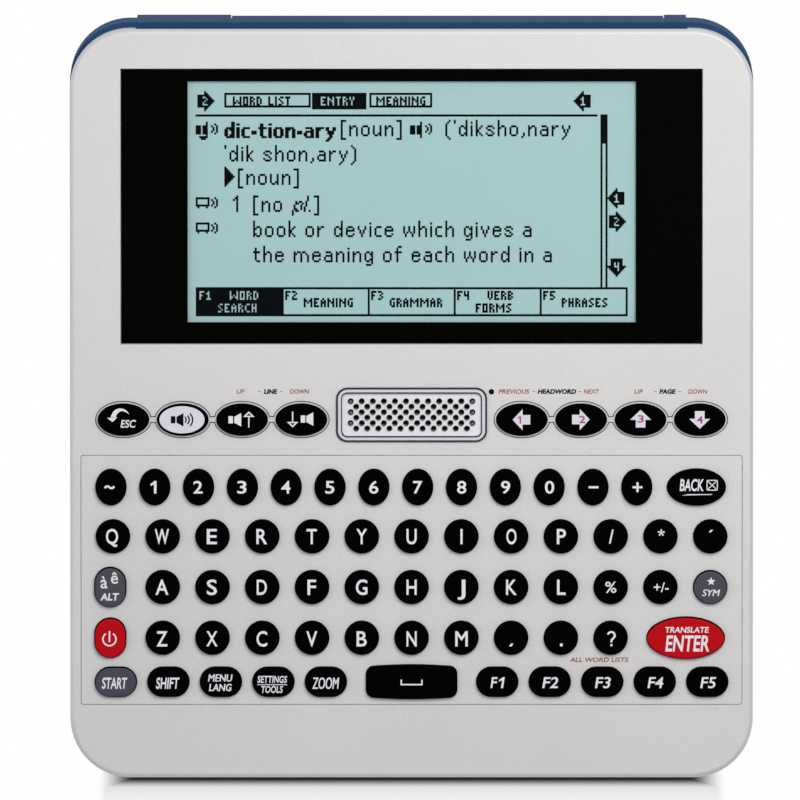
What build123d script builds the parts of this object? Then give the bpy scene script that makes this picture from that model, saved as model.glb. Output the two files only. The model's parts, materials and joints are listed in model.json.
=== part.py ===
from build123d import *
from math import asin, atan2, cos, hypot, radians, sin, tan
import os

os.makedirs("parts", exist_ok=True)

# Electronic dictionary with a full keyboard, lying face up on a desk. Millimetres.
# +X is to the right, +Y away from the reader and +Z up, and the desk is Z = 0.
# The battery hump under the display props the face up. Places on the face are given as
# (x, v), v running up the face from its bottom edge, and depths are measured in from it.

# ---- Keyboard layout -------------------------------------------------------------------
LETTER_PITCH = 10.35
LETTER_COLUMNS = 13
NUMBER_PITCH = 9.11
NUMBER_INDENT = -0.4  # the number row starts this far right of the letter grid
BOTTOM_PITCH = 10.92
BOTTOM_REACH = 61.5  # middle of the outermost bottom-row key, either side
FUNCTION_PITCH = 12.33
FUNCTION_REACH = 59.9
BACK_KEY_X = 59.2
ENTER_KEY_X = 57.0
SIDE_KEY_X = 62.65
PANEL_SIDE_MARGIN = 6.7
BOTTOM_ROW_MARGIN = 4.8
LOWER_ROW_STEP = 9.2
LETTER_ROW_STEP = 10.6
NUMBER_ROW_STEP = 10.3
NUMBER_ROW_MARGIN = 6.7
FUNCTION_ROW_STEP = 7.4  # from the keypad panel's top edge to the function row
SPEAKER_STEP = 8.4

# ---- Key caps, width by height ---------------------------------------------------------
LETTER_KEY = 7.0
NUMBER_KEY = (6.3, 7.5)
BACK_KEY = (12.15, 7.65)
ENTER_KEY = (16.2, 8.75)
SIDE_KEY = (6.5, 8.35)
BOTTOM_KEY = (8.65, 6.2)
SPACE_KEY = (18.85, 6.25)
SPACE_BULGE = 0.45
SPACE_CORNER = 1.6
FUNCTION_KEY = (10.55, 6.6)
KEY_RISE = 1.3
KEY_EDGE = 0.35
KEY_CLEARANCE = 0.12
KEY_TRAVEL = 1.0
KEY_REST_GAP = 0.2
FLANGE_REACH = 0.4
FLANGE_THICKNESS = 0.6

# ---- Face: borders round the panel and the display, measured up the face ----------------
PANEL_BORDER = 2.2
BOTTOM_BORDER = 15.3
FUNCTION_BAND = 23.1
TOP_BORDER = 8.2
PANEL_THICKNESS = 1.2
PANEL_CORNER = 0.6
SEAM = 0.12
LEDGE = 0.8
PANEL_LEDGE = 0.5

# ---- Casing ----------------------------------------------------------------------------
CORNER_RADIUS = 12.5
FACE_WALL = 2.0
WALL = 1.8
RIM_DEPTH = 4.3
EDGE_ROUND = 1.0
REAR_ROUND = 3.0
REAR_OVERHANG = 1.1  # the back reaches past the face at the far end
FRONT_THICKNESS = 10.5
FRONT_STAND = 0.6  # the bottom edge's height over the desk
SLAB_TAPER = 3.2  # degrees the back falls away from the face
HUMP_STAND = 0.7
HUMP_STRIP = 11.0
HUMP_RAMP = 7.0
LIP_THICKNESS = 0.8
LIP_HEIGHT = 1.0
FIT = 0.15
TAB_THICKNESS = 0.8
TAB_EDGE = 1.1

# ---- Battery bay: two AA cells end to end -----------------------------------------------
CELL_DIAMETER = 14.5
CELL_LENGTH = 50.5
CELL_BUTTON = (5.5, 1.3)
CELL_CLEARANCE = 0.25
SPRING_LENGTH = 7.9
SPRING_WIRE = 0.7
CONTACT_THICKNESS = 0.5
CONTACT_SIZE = (11.0, 11.0)
BAY_WALL = 1.2
DOOR_LEFT = -37.4
DOOR_RIGHT = 52.4
DOOR_WALL_TOP = 12.0
DOOR_CLEARANCE = 0.2
DOOR_STEP = 0.2
DOOR_TONGUE = 1.0
DOOR_TONGUE_THICKNESS = 0.8
DOOR_GRIP = (24.0, 0.8, 0.4)
DOOR_GRIP_PITCH = 1.8
DOOR_GRIP_COUNT = 5

# ---- Display ---------------------------------------------------------------------------
WINDOW_THICKNESS = 1.2
GASKET_THICKNESS = 0.6
SCREEN_WIDTH = 93.1
SCREEN_HEIGHT = 50.5
WINDOW_SIDE_BORDER = 13.95
WINDOW_LOW_BORDER = 4.5
WINDOW_HIGH_BORDER = 2.5
GLASS_SIDE_BORDER = 3.4
GLASS_END_BORDER = 0.9
GLASS_THICKNESS = 1.8
BACKLIGHT_THICKNESS = 2.2
FRAME_SHEET = 0.4
FRAME_CLEARANCE = 0.15
DISPLAY_GAP = 0.4
LCD_SCREW_X = 63.4
LCD_SCREW_SPREAD = 26.0
FLEX_WIDTH = 40.0
FLEX_THICKNESS = 0.3

# ---- Board and mat ---------------------------------------------------------------------
MAT_SHEET = 0.7
DOME_HEIGHT = 0.9
DOME_RADIUS = 2.0
DOME_SIDES = 8
DOME_TAPER = 25
BOARD_THICKNESS = 1.2
BOARD_INSET = 4.7
BOARD_NOTCH = 12.5
PROCESSOR = (14.0, 14.0, 1.6)
MEMORY = (8.0, 18.0, 1.6)
CRYSTAL = (11.0, 4.5, 3.2)
CAPACITOR = (6.0, 3.5, 1.6)
CHIP_ROW = 37.3  # from the board's bottom edge
SMALL_PART_ROW = 22.3
PROCESSOR_X = -14.0
MEMORY_X = 8.0
MEMORY_PITCH = 12.0
CAPACITOR_X = 30.0
CAPACITOR_PITCH = 8.0
CONNECTOR = (44.0, 2.6, 1.3)

# ---- Speaker ---------------------------------------------------------------------------
BEZEL = (31.0, 11.0, 2.2)  # width, height and corner
BEZEL_BORDER = 1.0
BEZEL_RISE = 0.4
BEZEL_FLANGE = 1.0
BEZEL_FLANGE_THICKNESS = 0.6
GRILLE_SINK = 0.2
GRILLE_THICKNESS = 0.8
GRILLE_SEAT = 1.0
GRILLE_CLEARANCE = 0.06
HOLE_PITCH = 2.3
HOLE_ROW_STEP = 1.14
HOLE_RADIUS = 0.5
HOLE_COLUMNS = 12
HOLE_ROWS = 3
DRIVER = (27.0, 8.6, 5.0)
SPEAKER_GASKET = 0.4

# ---- Function-key trim -----------------------------------------------------------------
TRIM_BORDER = 0.4
TRIM_RISE = 0.2
TRIM_BRIDGE = 1.0
TRIM_FIT = 0.05

# ---- Indicator, jack, reset ------------------------------------------------------------
INDICATOR_SPOT = (16.6, 4.8)  # from the middle of the speaker
INDICATOR_RADIUS = 0.5
JACK_FROM_BOSS = 4.8  # between the jack and the side screw's boss
JACK_DEPTH = 8.5
JACK_BODY = (13.0, 6.0)
JACK_NOSE = 2.5
JACK_BORE = 1.8
JACK_BORE_LENGTH = 14.0
RESET_SPOT = (45.0, 76.0)
RESET_RADIUS = 1.0
RESET_TRAVEL = 0.5
RESET_SINK = 0.8
RESET_SWITCH = 3.0

# ---- Screws and feet -------------------------------------------------------------------
BOSS_SPLIT = 5.0
FRONT_BOSS = 2.8
REAR_BOSS = 3.4
SCREW_RADIUS = 1.0
SCREW_HEAD = (2.1, 1.4)
SCREW_LENGTH = 6.0
SCREW_REACH = 2.6  # depth of the tip of a case screw
THREAD_GAP = 0.05
HEAD_GAP = 0.3
SIDE_SCREW_X = 66.0
CORNER_SCREW_X = 58.0
SCREW_FROM_BOTTOM = 8.0
SCREW_FROM_TOP = 15.3
SCREW_UNDER_WINDOW = 6.4
POST_RADIUS = 2.2
BOARD_SCREW_RADIUS = 0.8
BOARD_SCREW_HEAD = (1.6, 1.1)
BOARD_SCREW_LOW_X = 35.0
BOARD_SCREW_HIGH_X = 40.0
BOARD_REST_SPOTS = [(-48, 29), (48, 29), (-22, 60), (22, 60)]
BOARD_REST_RADIUS = 1.8
FOOT_RADIUS = 4.0
FOOT_SINK = 0.6
FOOT_FIT = 0.1
FOOT_X = 50.0
FRONT_FOOT_V = 10.0

# ---- Worked out from the above ----------------------------------------------------------
PANEL_WIDTH = (LETTER_COLUMNS - 1) * LETTER_PITCH + 2 * PANEL_SIDE_MARGIN
PANEL_HEIGHT = BOTTOM_ROW_MARGIN + LOWER_ROW_STEP + 2 * LETTER_ROW_STEP + NUMBER_ROW_STEP + NUMBER_ROW_MARGIN
PANEL_TOP = BOTTOM_BORDER + PANEL_HEIGHT
PANEL_MIDDLE = BOTTOM_BORDER + PANEL_HEIGHT / 2
WINDOW_BOTTOM = PANEL_TOP + FUNCTION_BAND
WINDOW_WIDTH = SCREEN_WIDTH + 2 * WINDOW_SIDE_BORDER
WINDOW_HEIGHT = SCREEN_HEIGHT + WINDOW_LOW_BORDER + WINDOW_HIGH_BORDER
WINDOW_MIDDLE = WINDOW_BOTTOM + WINDOW_HEIGHT / 2
SCREEN_MIDDLE = WINDOW_BOTTOM + WINDOW_LOW_BORDER + SCREEN_HEIGHT / 2
CASE_WIDTH = PANEL_WIDTH + 2 * PANEL_BORDER
CASE_LENGTH = WINDOW_BOTTOM + WINDOW_HEIGHT + TOP_BORDER
REAR_LENGTH = CASE_LENGTH + REAR_OVERHANG

BOTTOM_ROW = BOTTOM_BORDER + BOTTOM_ROW_MARGIN
LOWER_ROW = BOTTOM_ROW + LOWER_ROW_STEP
HOME_ROW = LOWER_ROW + LETTER_ROW_STEP
TOP_ROW = HOME_ROW + LETTER_ROW_STEP
NUMBER_ROW = TOP_ROW + NUMBER_ROW_STEP
FUNCTION_ROW = PANEL_TOP + FUNCTION_ROW_STEP
SPEAKER_ROW = PANEL_TOP + SPEAKER_STEP
SIDE_SCREW_V = WINDOW_BOTTOM - SCREW_UNDER_WINDOW
JACK_V = SIDE_SCREW_V - REAR_BOSS - JACK_FROM_BOSS - JACK_BODY[1] / 2

# Depths below the face of what is stacked under it.
FLANGE_TOP = PANEL_THICKNESS + KEY_REST_GAP
FLANGE_BOTTOM = FLANGE_TOP + FLANGE_THICKNESS
DOME_TOP = FLANGE_BOTTOM + KEY_TRAVEL + KEY_REST_GAP
MAT_TOP = DOME_TOP + DOME_HEIGHT
BOARD_TOP = MAT_TOP + MAT_SHEET
BOARD_BOTTOM = BOARD_TOP + BOARD_THICKNESS
GLASS_TOP = WINDOW_THICKNESS + GASKET_THICKNESS
BACKLIGHT_TOP = GLASS_TOP + GLASS_THICKNESS
TRAY_TOP = BACKLIGHT_TOP + BACKLIGHT_THICKNESS
TRAY_BACK = TRAY_TOP + FRAME_SHEET

# The bay under the display sets how far the face leans: its roof just clears the display's tray.
BAY_FLOOR = HUMP_STAND + WALL
CELL_Z = BAY_FLOOR + CELL_CLEARANCE + CELL_DIAMETER / 2
BAY_CEILING = CELL_Z + CELL_DIAMETER / 2 + CELL_CLEARANCE
BAY_ROOF = BAY_CEILING + BAY_WALL
BAY_V = REAR_LENGTH - WALL - CELL_DIAMETER - 2 * CELL_CLEARANCE - BAY_WALL
FRONT_LIFT = FRONT_THICKNESS + FRONT_STAND
LEAN = asin((BAY_ROOF + DISPLAY_GAP - FRONT_LIFT) / hypot(BAY_V, TRAY_BACK)) + atan2(TRAY_BACK, BAY_V)
SIN = sin(LEAN)
COS = cos(LEAN)

# The casing's rearmost point is on the round under the hump, its foremost on the face's edge.
ROUND_DEPTH = (HUMP_STAND + REAR_ROUND - FRONT_LIFT - (REAR_LENGTH - REAR_ROUND) * SIN) / COS
REACH_BACK = (REAR_LENGTH - REAR_ROUND) * COS - ROUND_DEPTH * SIN + REAR_ROUND
REACH_FRONT = EDGE_ROUND * (COS + SIN - 1)
FACE_START = -(REACH_BACK + REACH_FRONT) / 2

FACE = Plane(origin=(0, FACE_START, FRONT_LIFT), x_dir=(1, 0, 0), z_dir=(0, -SIN, COS))
SIDE = Plane(origin=FACE.origin, x_dir=FACE.y_dir, z_dir=(1, 0, 0))
OUTWARDS = Axis(origin=FACE.origin, direction=FACE.z_dir)
FAR = 60.0  # longer than any cut has to be

BAY_LENGTH = 2 * CELL_LENGTH + 3 * CELL_CLEARANCE + SPRING_LENGTH + 2 * CONTACT_THICKNESS
HUMP_WIDTH = BAY_LENGTH + 2 * WALL
BAY_Y = FACE_START + BAY_V * COS + TRAY_BACK * SIN
BAY_FRONT = BAY_Y + BAY_WALL
CELL_Y = BAY_FRONT + CELL_CLEARANCE + CELL_DIAMETER / 2


def side_point(v, depth):
    """(y, z) of a point v up the face and depth below it."""
    return (FACE_START + v * COS + depth * SIN, FRONT_LIFT + v * SIN - depth * COS)


def wall_y(v, z):
    """y where the plane square to the face at v meets the height z."""
    return FACE_START + v * COS + (FRONT_LIFT + v * SIN - z) / COS * SIN


def slab_depth(v):
    """Depth of the outside of the back under a place on the face."""
    return FRONT_THICKNESS + v * tan(radians(SLAB_TAPER))


def column(index):
    """x of a letter-grid column, counted from the left."""
    return (index - (LETTER_COLUMNS - 1) / 2) * LETTER_PITCH


# ---- Key outlines, drawn where the enclosing Locations put them ---------------------------
def round_key(grow):
    Circle(LETTER_KEY / 2 + grow)


def oval_key(size):
    def draw(grow):
        Ellipse(size[0] / 2 + grow, size[1] / 2 + grow)

    return draw


def stadium_key(size):
    def draw(grow):
        tall = size[1] > size[0]
        SlotOverall(max(size) + 2 * grow, min(size) + 2 * grow, rotation=90 if tall else 0)

    return draw


def space_key(grow):
    """Barrel: straight ends, bowed long sides."""
    half = SPACE_KEY[0] / 2 + grow
    rise = SPACE_KEY[1] / 2 + grow
    with BuildSketch(mode=Mode.PRIVATE) as barrel:
        with BuildLine():
            ThreePointArc((-half, rise), (0, rise + SPACE_BULGE), (half, rise))
            Line((half, rise), (half, -rise))
            ThreePointArc((half, -rise), (0, -rise - SPACE_BULGE), (-half, -rise))
            Line((-half, -rise), (-half, rise))
        make_face()
        fillet(barrel.vertices(), SPACE_CORNER + grow)
    add(barrel.sketch)


# ---- Where every key sits: node name, outline and places ----------------------------------
def function_x(index):
    return FUNCTION_REACH - index * FUNCTION_PITCH


function_oval = oval_key(FUNCTION_KEY)
bottom_oval = stadium_key(BOTTOM_KEY)
FUNCTION_KEYS = {
    "escape_key": (function_oval, [(-function_x(0), FUNCTION_ROW)]),
    "speak_key": (function_oval, [(-function_x(1), FUNCTION_ROW)]),
    "volume_up_key": (function_oval, [(-function_x(2), FUNCTION_ROW)]),
    "volume_down_key": (function_oval, [(-function_x(3), FUNCTION_ROW)]),
    "left_arrow_key": (function_oval, [(function_x(3), FUNCTION_ROW)]),
    "right_arrow_key": (function_oval, [(function_x(2), FUNCTION_ROW)]),
    "up_arrow_key": (function_oval, [(function_x(1), FUNCTION_ROW)]),
    "down_arrow_key": (function_oval, [(function_x(0), FUNCTION_ROW)]),
}
number_spots = [(column(0) + NUMBER_INDENT + i * NUMBER_PITCH, NUMBER_ROW) for i in range(13)]
PANEL_KEYS = {
    "number_row_keys": (oval_key(NUMBER_KEY), number_spots),
    "top_letter_keys": (round_key, [(column(i), TOP_ROW) for i in range(13)]),
    "home_letter_keys": (round_key, [(column(i), HOME_ROW) for i in range(1, 12)]),
    "lower_letter_keys": (round_key, [(column(i), LOWER_ROW) for i in range(1, 11)]),
    "back_key": (oval_key(BACK_KEY), [(BACK_KEY_X, NUMBER_ROW)]),
    "alternate_key": (stadium_key(SIDE_KEY), [(-SIDE_KEY_X, HOME_ROW)]),
    "symbol_key": (round_key, [(column(12), HOME_ROW)]),
    "power_key": (stadium_key(SIDE_KEY), [(-SIDE_KEY_X, LOWER_ROW)]),
    "enter_key": (oval_key(ENTER_KEY), [(ENTER_KEY_X, LOWER_ROW)]),
    "space_key": (space_key, [(0, BOTTOM_ROW)]),
}
for index, name in enumerate(["start_key", "shift_key", "menu_key", "settings_key", "zoom_key"]):
    PANEL_KEYS[name] = (bottom_oval, [(-BOTTOM_REACH + index * BOTTOM_PITCH, BOTTOM_ROW)])
for index in range(5):
    place = (BOTTOM_REACH - (4 - index) * BOTTOM_PITCH, BOTTOM_ROW)
    PANEL_KEYS[f"f{index + 1}_key"] = (bottom_oval, [place])

# ---- Fasteners, posts and feet, as places on the face -------------------------------------
CASE_SCREWS = [
    (side * x, v)
    for side in (-1, 1)
    for x, v in (
        (CORNER_SCREW_X, SCREW_FROM_BOTTOM),
        (SIDE_SCREW_X, SIDE_SCREW_V),
        (SIDE_SCREW_X, CASE_LENGTH - SCREW_FROM_TOP),
    )
]
BOARD_SCREWS = [
    (side * x, v)
    for side in (-1, 1)
    for x, v in (
        (BOARD_SCREW_LOW_X, SCREW_FROM_BOTTOM),
        (BOARD_SCREW_HIGH_X, SIDE_SCREW_V),
    )
]
LCD_SCREWS = [
    (side * LCD_SCREW_X, WINDOW_MIDDLE + way * LCD_SCREW_SPREAD / 2)
    for side in (-1, 1)
    for way in (-1, 1)
]
SCREW_SEAT = SCREW_REACH + SCREW_LENGTH
HUMP_FOOT_Y = BAY_Y - HUMP_STRIP / 2
FRONT_FOOT_Y, FRONT_FOOT_Z = side_point(FRONT_FOOT_V, slab_depth(FRONT_FOOT_V))
FEET = [
    (side * FOOT_X, y, top)
    for side in (-1, 1)
    for y, top in ((FRONT_FOOT_Y, FRONT_FOOT_Z + FOOT_SINK), (HUMP_FOOT_Y, HUMP_STAND + FOOT_SINK))
]


# ---- Shared outlines ---------------------------------------------------------------------
def casing(inset):
    with Locations((0, CASE_LENGTH / 2)):
        RectangleRounded(CASE_WIDTH - 2 * inset, CASE_LENGTH - 2 * inset, CORNER_RADIUS - inset)


def rear_casing(inset):
    """The back's outline, which is the face's drawn longer at the far end."""
    with Locations((0, REAR_LENGTH / 2)):
        RectangleRounded(CASE_WIDTH - 2 * inset, REAR_LENGTH - 2 * inset, CORNER_RADIUS - inset)


def window_opening(inset):
    with Locations((0, WINDOW_MIDDLE)):
        Rectangle(WINDOW_WIDTH - 2 * inset, WINDOW_HEIGHT - 2 * inset)


def panel_opening(inset):
    with Locations((0, PANEL_MIDDLE)):
        RectangleRounded(PANEL_WIDTH - 2 * inset, PANEL_HEIGHT - 2 * inset, PANEL_CORNER - inset)


def bezel_opening(inset):
    with Locations((0, SPEAKER_ROW)):
        RectangleRounded(BEZEL[0] - 2 * inset, BEZEL[1] - 2 * inset, BEZEL[2] - inset)


def driver_opening(grow):
    with Locations((0, SPEAKER_ROW)):
        SlotOverall(DRIVER[0] + 2 * grow, DRIVER[1] + 2 * grow)


def screen_block(grow):
    with Locations((0, SCREEN_MIDDLE)):
        Rectangle(
            SCREEN_WIDTH + 2 * GLASS_SIDE_BORDER + 2 * grow,
            SCREEN_HEIGHT + 2 * GLASS_END_BORDER + 2 * grow,
        )


def trim_outline(side, grow):
    """Four oval rings in a row with a bridge between each two."""
    spots = [(side * function_x(i), FUNCTION_ROW) for i in range(4)]
    with Locations(*spots):
        Ellipse(FUNCTION_KEY[0] / 2 + TRIM_BORDER + grow, FUNCTION_KEY[1] / 2 + TRIM_BORDER + grow)
    with Locations((side * (function_x(0) + function_x(3)) / 2, FUNCTION_ROW)):
        Rectangle(3 * FUNCTION_PITCH, TRIM_BRIDGE + 2 * grow)


def slab_form(inset):
    """The wedge behind the face, drawn in from the outside by inset."""
    top = -RIM_DEPTH + (LIP_HEIGHT if inset else 0)
    low = [(v, -slab_depth(v) + inset / cos(radians(SLAB_TAPER))) for v in (inset, REAR_LENGTH - inset)]
    with BuildPart() as form:
        with BuildSketch(SIDE.offset(inset - CASE_WIDTH / 2)):
            with BuildLine():
                Polyline((inset, top), low[0], low[1], (REAR_LENGTH - inset, top), close=True)
            make_face()
        extrude(amount=CASE_WIDTH - 2 * inset)
        with BuildSketch(FACE.offset(-FAR)):
            rear_casing(inset)
        extrude(amount=FAR, mode=Mode.INTERSECT)
        fillet(form.faces().sort_by(OUTWARDS)[0].edges(), REAR_ROUND - inset)
    return form.part


def hump_form(inset):
    """The battery hump, flat below and parallel to the desk, drawn in by inset."""
    floor = HUMP_STAND + inset
    back = REAR_LENGTH - inset
    ramp_foot = BAY_Y - HUMP_STRIP + inset
    ramp_head = ramp_foot - HUMP_RAMP
    with BuildPart() as form:
        with BuildSketch(Plane.YZ.offset(inset - HUMP_WIDTH / 2)):
            with BuildLine():
                Polyline(
                    (ramp_foot, floor),
                    (wall_y(back, floor), floor),
                    side_point(back, RIM_DEPTH),
                    (ramp_head, side_point(CASE_LENGTH / 2, RIM_DEPTH)[1]),
                    (ramp_head, floor + HUMP_RAMP),
                    close=True,
                )
            make_face()
        extrude(amount=HUMP_WIDTH - 2 * inset)
        fillet(form.faces().sort_by(Axis.Z)[0].edges(), REAR_ROUND - inset)
    return form.part


# ---- Front case ---------------------------------------------------------------------------
with BuildPart() as front_case:
    with BuildSketch(FACE.offset(-RIM_DEPTH)):
        casing(0)
    extrude(amount=RIM_DEPTH)
    fillet(front_case.faces().sort_by(OUTWARDS)[-1].edges(), EDGE_ROUND)
    with BuildSketch(FACE.offset(-RIM_DEPTH)):
        casing(WALL)
    extrude(amount=RIM_DEPTH - FACE_WALL, mode=Mode.SUBTRACT)
    # Bosses for the case screws, and posts for the board and the display tray.
    with BuildSketch(FACE.offset(-BOSS_SPLIT)):
        with Locations(*CASE_SCREWS):
            Circle(FRONT_BOSS)
    extrude(amount=BOSS_SPLIT - FACE_WALL)
    with BuildSketch(FACE.offset(-BOARD_TOP)):
        with Locations(*BOARD_SCREWS):
            Circle(POST_RADIUS)
    extrude(amount=BOARD_TOP - FACE_WALL)
    with BuildSketch(FACE.offset(-TRAY_TOP)):
        with Locations(*LCD_SCREWS):
            Circle(POST_RADIUS)
    extrude(amount=TRAY_TOP - FACE_WALL)
    # Recesses for the window and the keypad panel, each with an opening inside its ledge.
    with BuildSketch(FACE):
        window_opening(0)
    extrude(amount=-WINDOW_THICKNESS, mode=Mode.SUBTRACT)
    with BuildSketch(FACE):
        panel_opening(0)
    extrude(amount=-PANEL_THICKNESS, mode=Mode.SUBTRACT)
    with BuildSketch(FACE):
        window_opening(LEDGE)
        panel_opening(PANEL_LEDGE)
        bezel_opening(-SEAM)
        trim_outline(-1, TRIM_FIT)
        trim_outline(1, TRIM_FIT)
        with Locations((INDICATOR_SPOT[0], SPEAKER_ROW + INDICATOR_SPOT[1])):
            Circle(INDICATOR_RADIUS)
    extrude(amount=-FACE_WALL, mode=Mode.SUBTRACT)
    # The face is thinned behind the function keys so that their flanges run level with the rest.
    with BuildSketch(FACE.offset(-FACE_WALL)):
        for side in (-1, 1):
            with Locations((side * (function_x(0) + function_x(3)) / 2, FUNCTION_ROW)):
                Rectangle(
                    3 * FUNCTION_PITCH + FUNCTION_KEY[0] + 4 * FLANGE_REACH,
                    FUNCTION_KEY[1] + 4 * FLANGE_REACH,
                )
    extrude(amount=FACE_WALL - PANEL_THICKNESS, mode=Mode.SUBTRACT)
    # Along the hump the rear case's tab stands in the rim.
    with BuildSketch(SIDE.offset(-HUMP_WIDTH / 2 - FIT)):
        with Locations((CASE_LENGTH, -RIM_DEPTH)):
            Rectangle(
                2 * (TAB_THICKNESS + FIT),
                2 * (RIM_DEPTH - TAB_EDGE + FIT),
            )
    extrude(amount=HUMP_WIDTH + 2 * FIT, mode=Mode.SUBTRACT)
    # Pilot holes.
    with BuildSketch(FACE.offset(-BOSS_SPLIT)):
        with Locations(*CASE_SCREWS):
            Circle(SCREW_RADIUS + THREAD_GAP)
    extrude(amount=BOSS_SPLIT - SCREW_REACH + HEAD_GAP, mode=Mode.SUBTRACT)
    with BuildSketch(FACE.offset(-TRAY_TOP)):
        with Locations(*BOARD_SCREWS, *LCD_SCREWS):
            Circle(BOARD_SCREW_RADIUS + THREAD_GAP)
    extrude(amount=TRAY_TOP - SCREW_REACH, mode=Mode.SUBTRACT)
front_case.part.label = "front_case"
export_step(front_case.part, "parts/front_case.step")

# ---- Rear case ----------------------------------------------------------------------------
with BuildPart() as rear_outside:
    add(slab_form(0))
    add(hump_form(0))

with BuildPart() as rear_inside:
    add(slab_form(WALL))
    add(hump_form(WALL))

RESET_GUIDE_TOP = slab_depth(RESET_SPOT[1]) - WALL - RESET_RADIUS
with BuildPart() as rear_fittings:
    # Screw bosses, rests under the board and the reset button's guide, all standing on the floor.
    with BuildSketch(FACE.offset(-FAR)):
        with Locations(*CASE_SCREWS):
            Circle(REAR_BOSS)
    extrude(amount=FAR - BOSS_SPLIT)
    with BuildSketch(FACE.offset(-FAR)):
        with Locations(*BOARD_REST_SPOTS):
            Circle(BOARD_REST_RADIUS)
    extrude(amount=FAR - BOARD_BOTTOM)
    with BuildSketch(FACE.offset(-FAR)):
        with Locations(RESET_SPOT):
            Circle(2 * RESET_RADIUS + FIT)
    extrude(amount=FAR - RESET_GUIDE_TOP)
    # Battery bay: front wall, roof and end walls round the two cells.
    with BuildSketch(Plane.YZ.offset(-HUMP_WIDTH / 2)):
        with BuildLine():
            Polyline(
                (BAY_Y, HUMP_STAND),
                (BAY_Y, BAY_ROOF),
                (wall_y(REAR_LENGTH, BAY_ROOF), BAY_ROOF),
                (wall_y(REAR_LENGTH, HUMP_STAND), HUMP_STAND),
                close=True,
            )
        make_face()
    extrude(amount=HUMP_WIDTH)
    with BuildSketch(Plane.YZ.offset(-BAY_LENGTH / 2)):
        with BuildLine():
            Polyline(
                (BAY_FRONT, BAY_FLOOR),
                (BAY_FRONT, BAY_CEILING),
                (wall_y(REAR_LENGTH - WALL, BAY_CEILING), BAY_CEILING),
                (wall_y(REAR_LENGTH - WALL, BAY_FLOOR), BAY_FLOOR),
                close=True,
            )
        make_face()
    extrude(amount=BAY_LENGTH, mode=Mode.SUBTRACT)
    add(rear_outside.part, mode=Mode.INTERSECT)

DOOR_WIDTH = DOOR_RIGHT - DOOR_LEFT
DOOR_X = (DOOR_LEFT + DOOR_RIGHT) / 2
with BuildPart() as rear_case:
    add(rear_outside.part)
    add(rear_inside.part, mode=Mode.SUBTRACT)
    add(rear_fittings.part)
    # Lip that stands inside the front case's rim, open where the front bosses come down.
    for outline, depth, inset in (
        (rear_casing, RIM_DEPTH + LIP_HEIGHT, WALL - FIT),
        (casing, RIM_DEPTH, WALL + FIT),
    ):
        with BuildSketch(FACE.offset(-depth)):
            outline(inset)
            with BuildSketch(mode=Mode.PRIVATE) as lip_hollow:
                casing(WALL + FIT + LIP_THICKNESS)
                with Locations(*CASE_SCREWS):
                    Circle(REAR_BOSS)
            add(lip_hollow.sketch, mode=Mode.SUBTRACT)
        extrude(amount=LIP_HEIGHT)
    # Tab that fills the rim's rebate along the hump.
    with BuildSketch(SIDE.offset(-HUMP_WIDTH / 2)):
        with Locations((CASE_LENGTH - TAB_THICKNESS / 2, -(RIM_DEPTH + TAB_EDGE) / 2)):
            Rectangle(TAB_THICKNESS, RIM_DEPTH - TAB_EDGE)
    extrude(amount=HUMP_WIDTH)
    # Screw wells from behind, and the shanks' holes above their seats.
    with BuildSketch(FACE.offset(-FAR)):
        with Locations(*CASE_SCREWS):
            Circle(SCREW_HEAD[0] + HEAD_GAP)
    extrude(amount=FAR - SCREW_SEAT, mode=Mode.SUBTRACT)
    with BuildSketch(FACE.offset(-SCREW_SEAT)):
        with Locations(*CASE_SCREWS):
            Circle(SCREW_RADIUS + FIT)
    extrude(amount=SCREW_SEAT - BOSS_SPLIT, mode=Mode.SUBTRACT)
    # Reset hole, jack hole and the feet's pockets.
    with BuildSketch(FACE.offset(-FAR)):
        with Locations(RESET_SPOT):
            Circle(RESET_RADIUS + FIT)
    extrude(amount=FAR - RESET_GUIDE_TOP, mode=Mode.SUBTRACT)
    with BuildSketch(SIDE.offset(-CASE_WIDTH / 2)):
        with Locations((JACK_V, -JACK_DEPTH)):
            Circle(JACK_NOSE + FIT)
    extrude(amount=2 * WALL, mode=Mode.SUBTRACT)
    for x, y, top in FEET:
        with BuildSketch(Plane.XY):
            with Locations((x, y)):
                Circle(FOOT_RADIUS + FOOT_FIT)
        extrude(amount=top, mode=Mode.SUBTRACT)
    # Doorway through the hump's floor and end wall, with a groove each side for the door's tongues.
    with BuildSketch(Plane.XY):
        with Locations((DOOR_X, BAY_FRONT + FAR / 2)):
            Rectangle(DOOR_WIDTH + 2 * DOOR_CLEARANCE, FAR)
    extrude(amount=DOOR_WALL_TOP + DOOR_CLEARANCE, mode=Mode.SUBTRACT)
    with BuildSketch(Plane.XY.offset(BAY_FLOOR - DOOR_TONGUE_THICKNESS - DOOR_CLEARANCE / 2)):
        with Locations((DOOR_X, BAY_FRONT + FAR / 2)):
            Rectangle(DOOR_WIDTH + 2 * (DOOR_TONGUE + DOOR_CLEARANCE), FAR)
    extrude(amount=DOOR_TONGUE_THICKNESS + DOOR_CLEARANCE, mode=Mode.SUBTRACT)
rear_case.part.label = "rear_case"
export_step(rear_case.part, "parts/rear_case.step")

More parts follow.
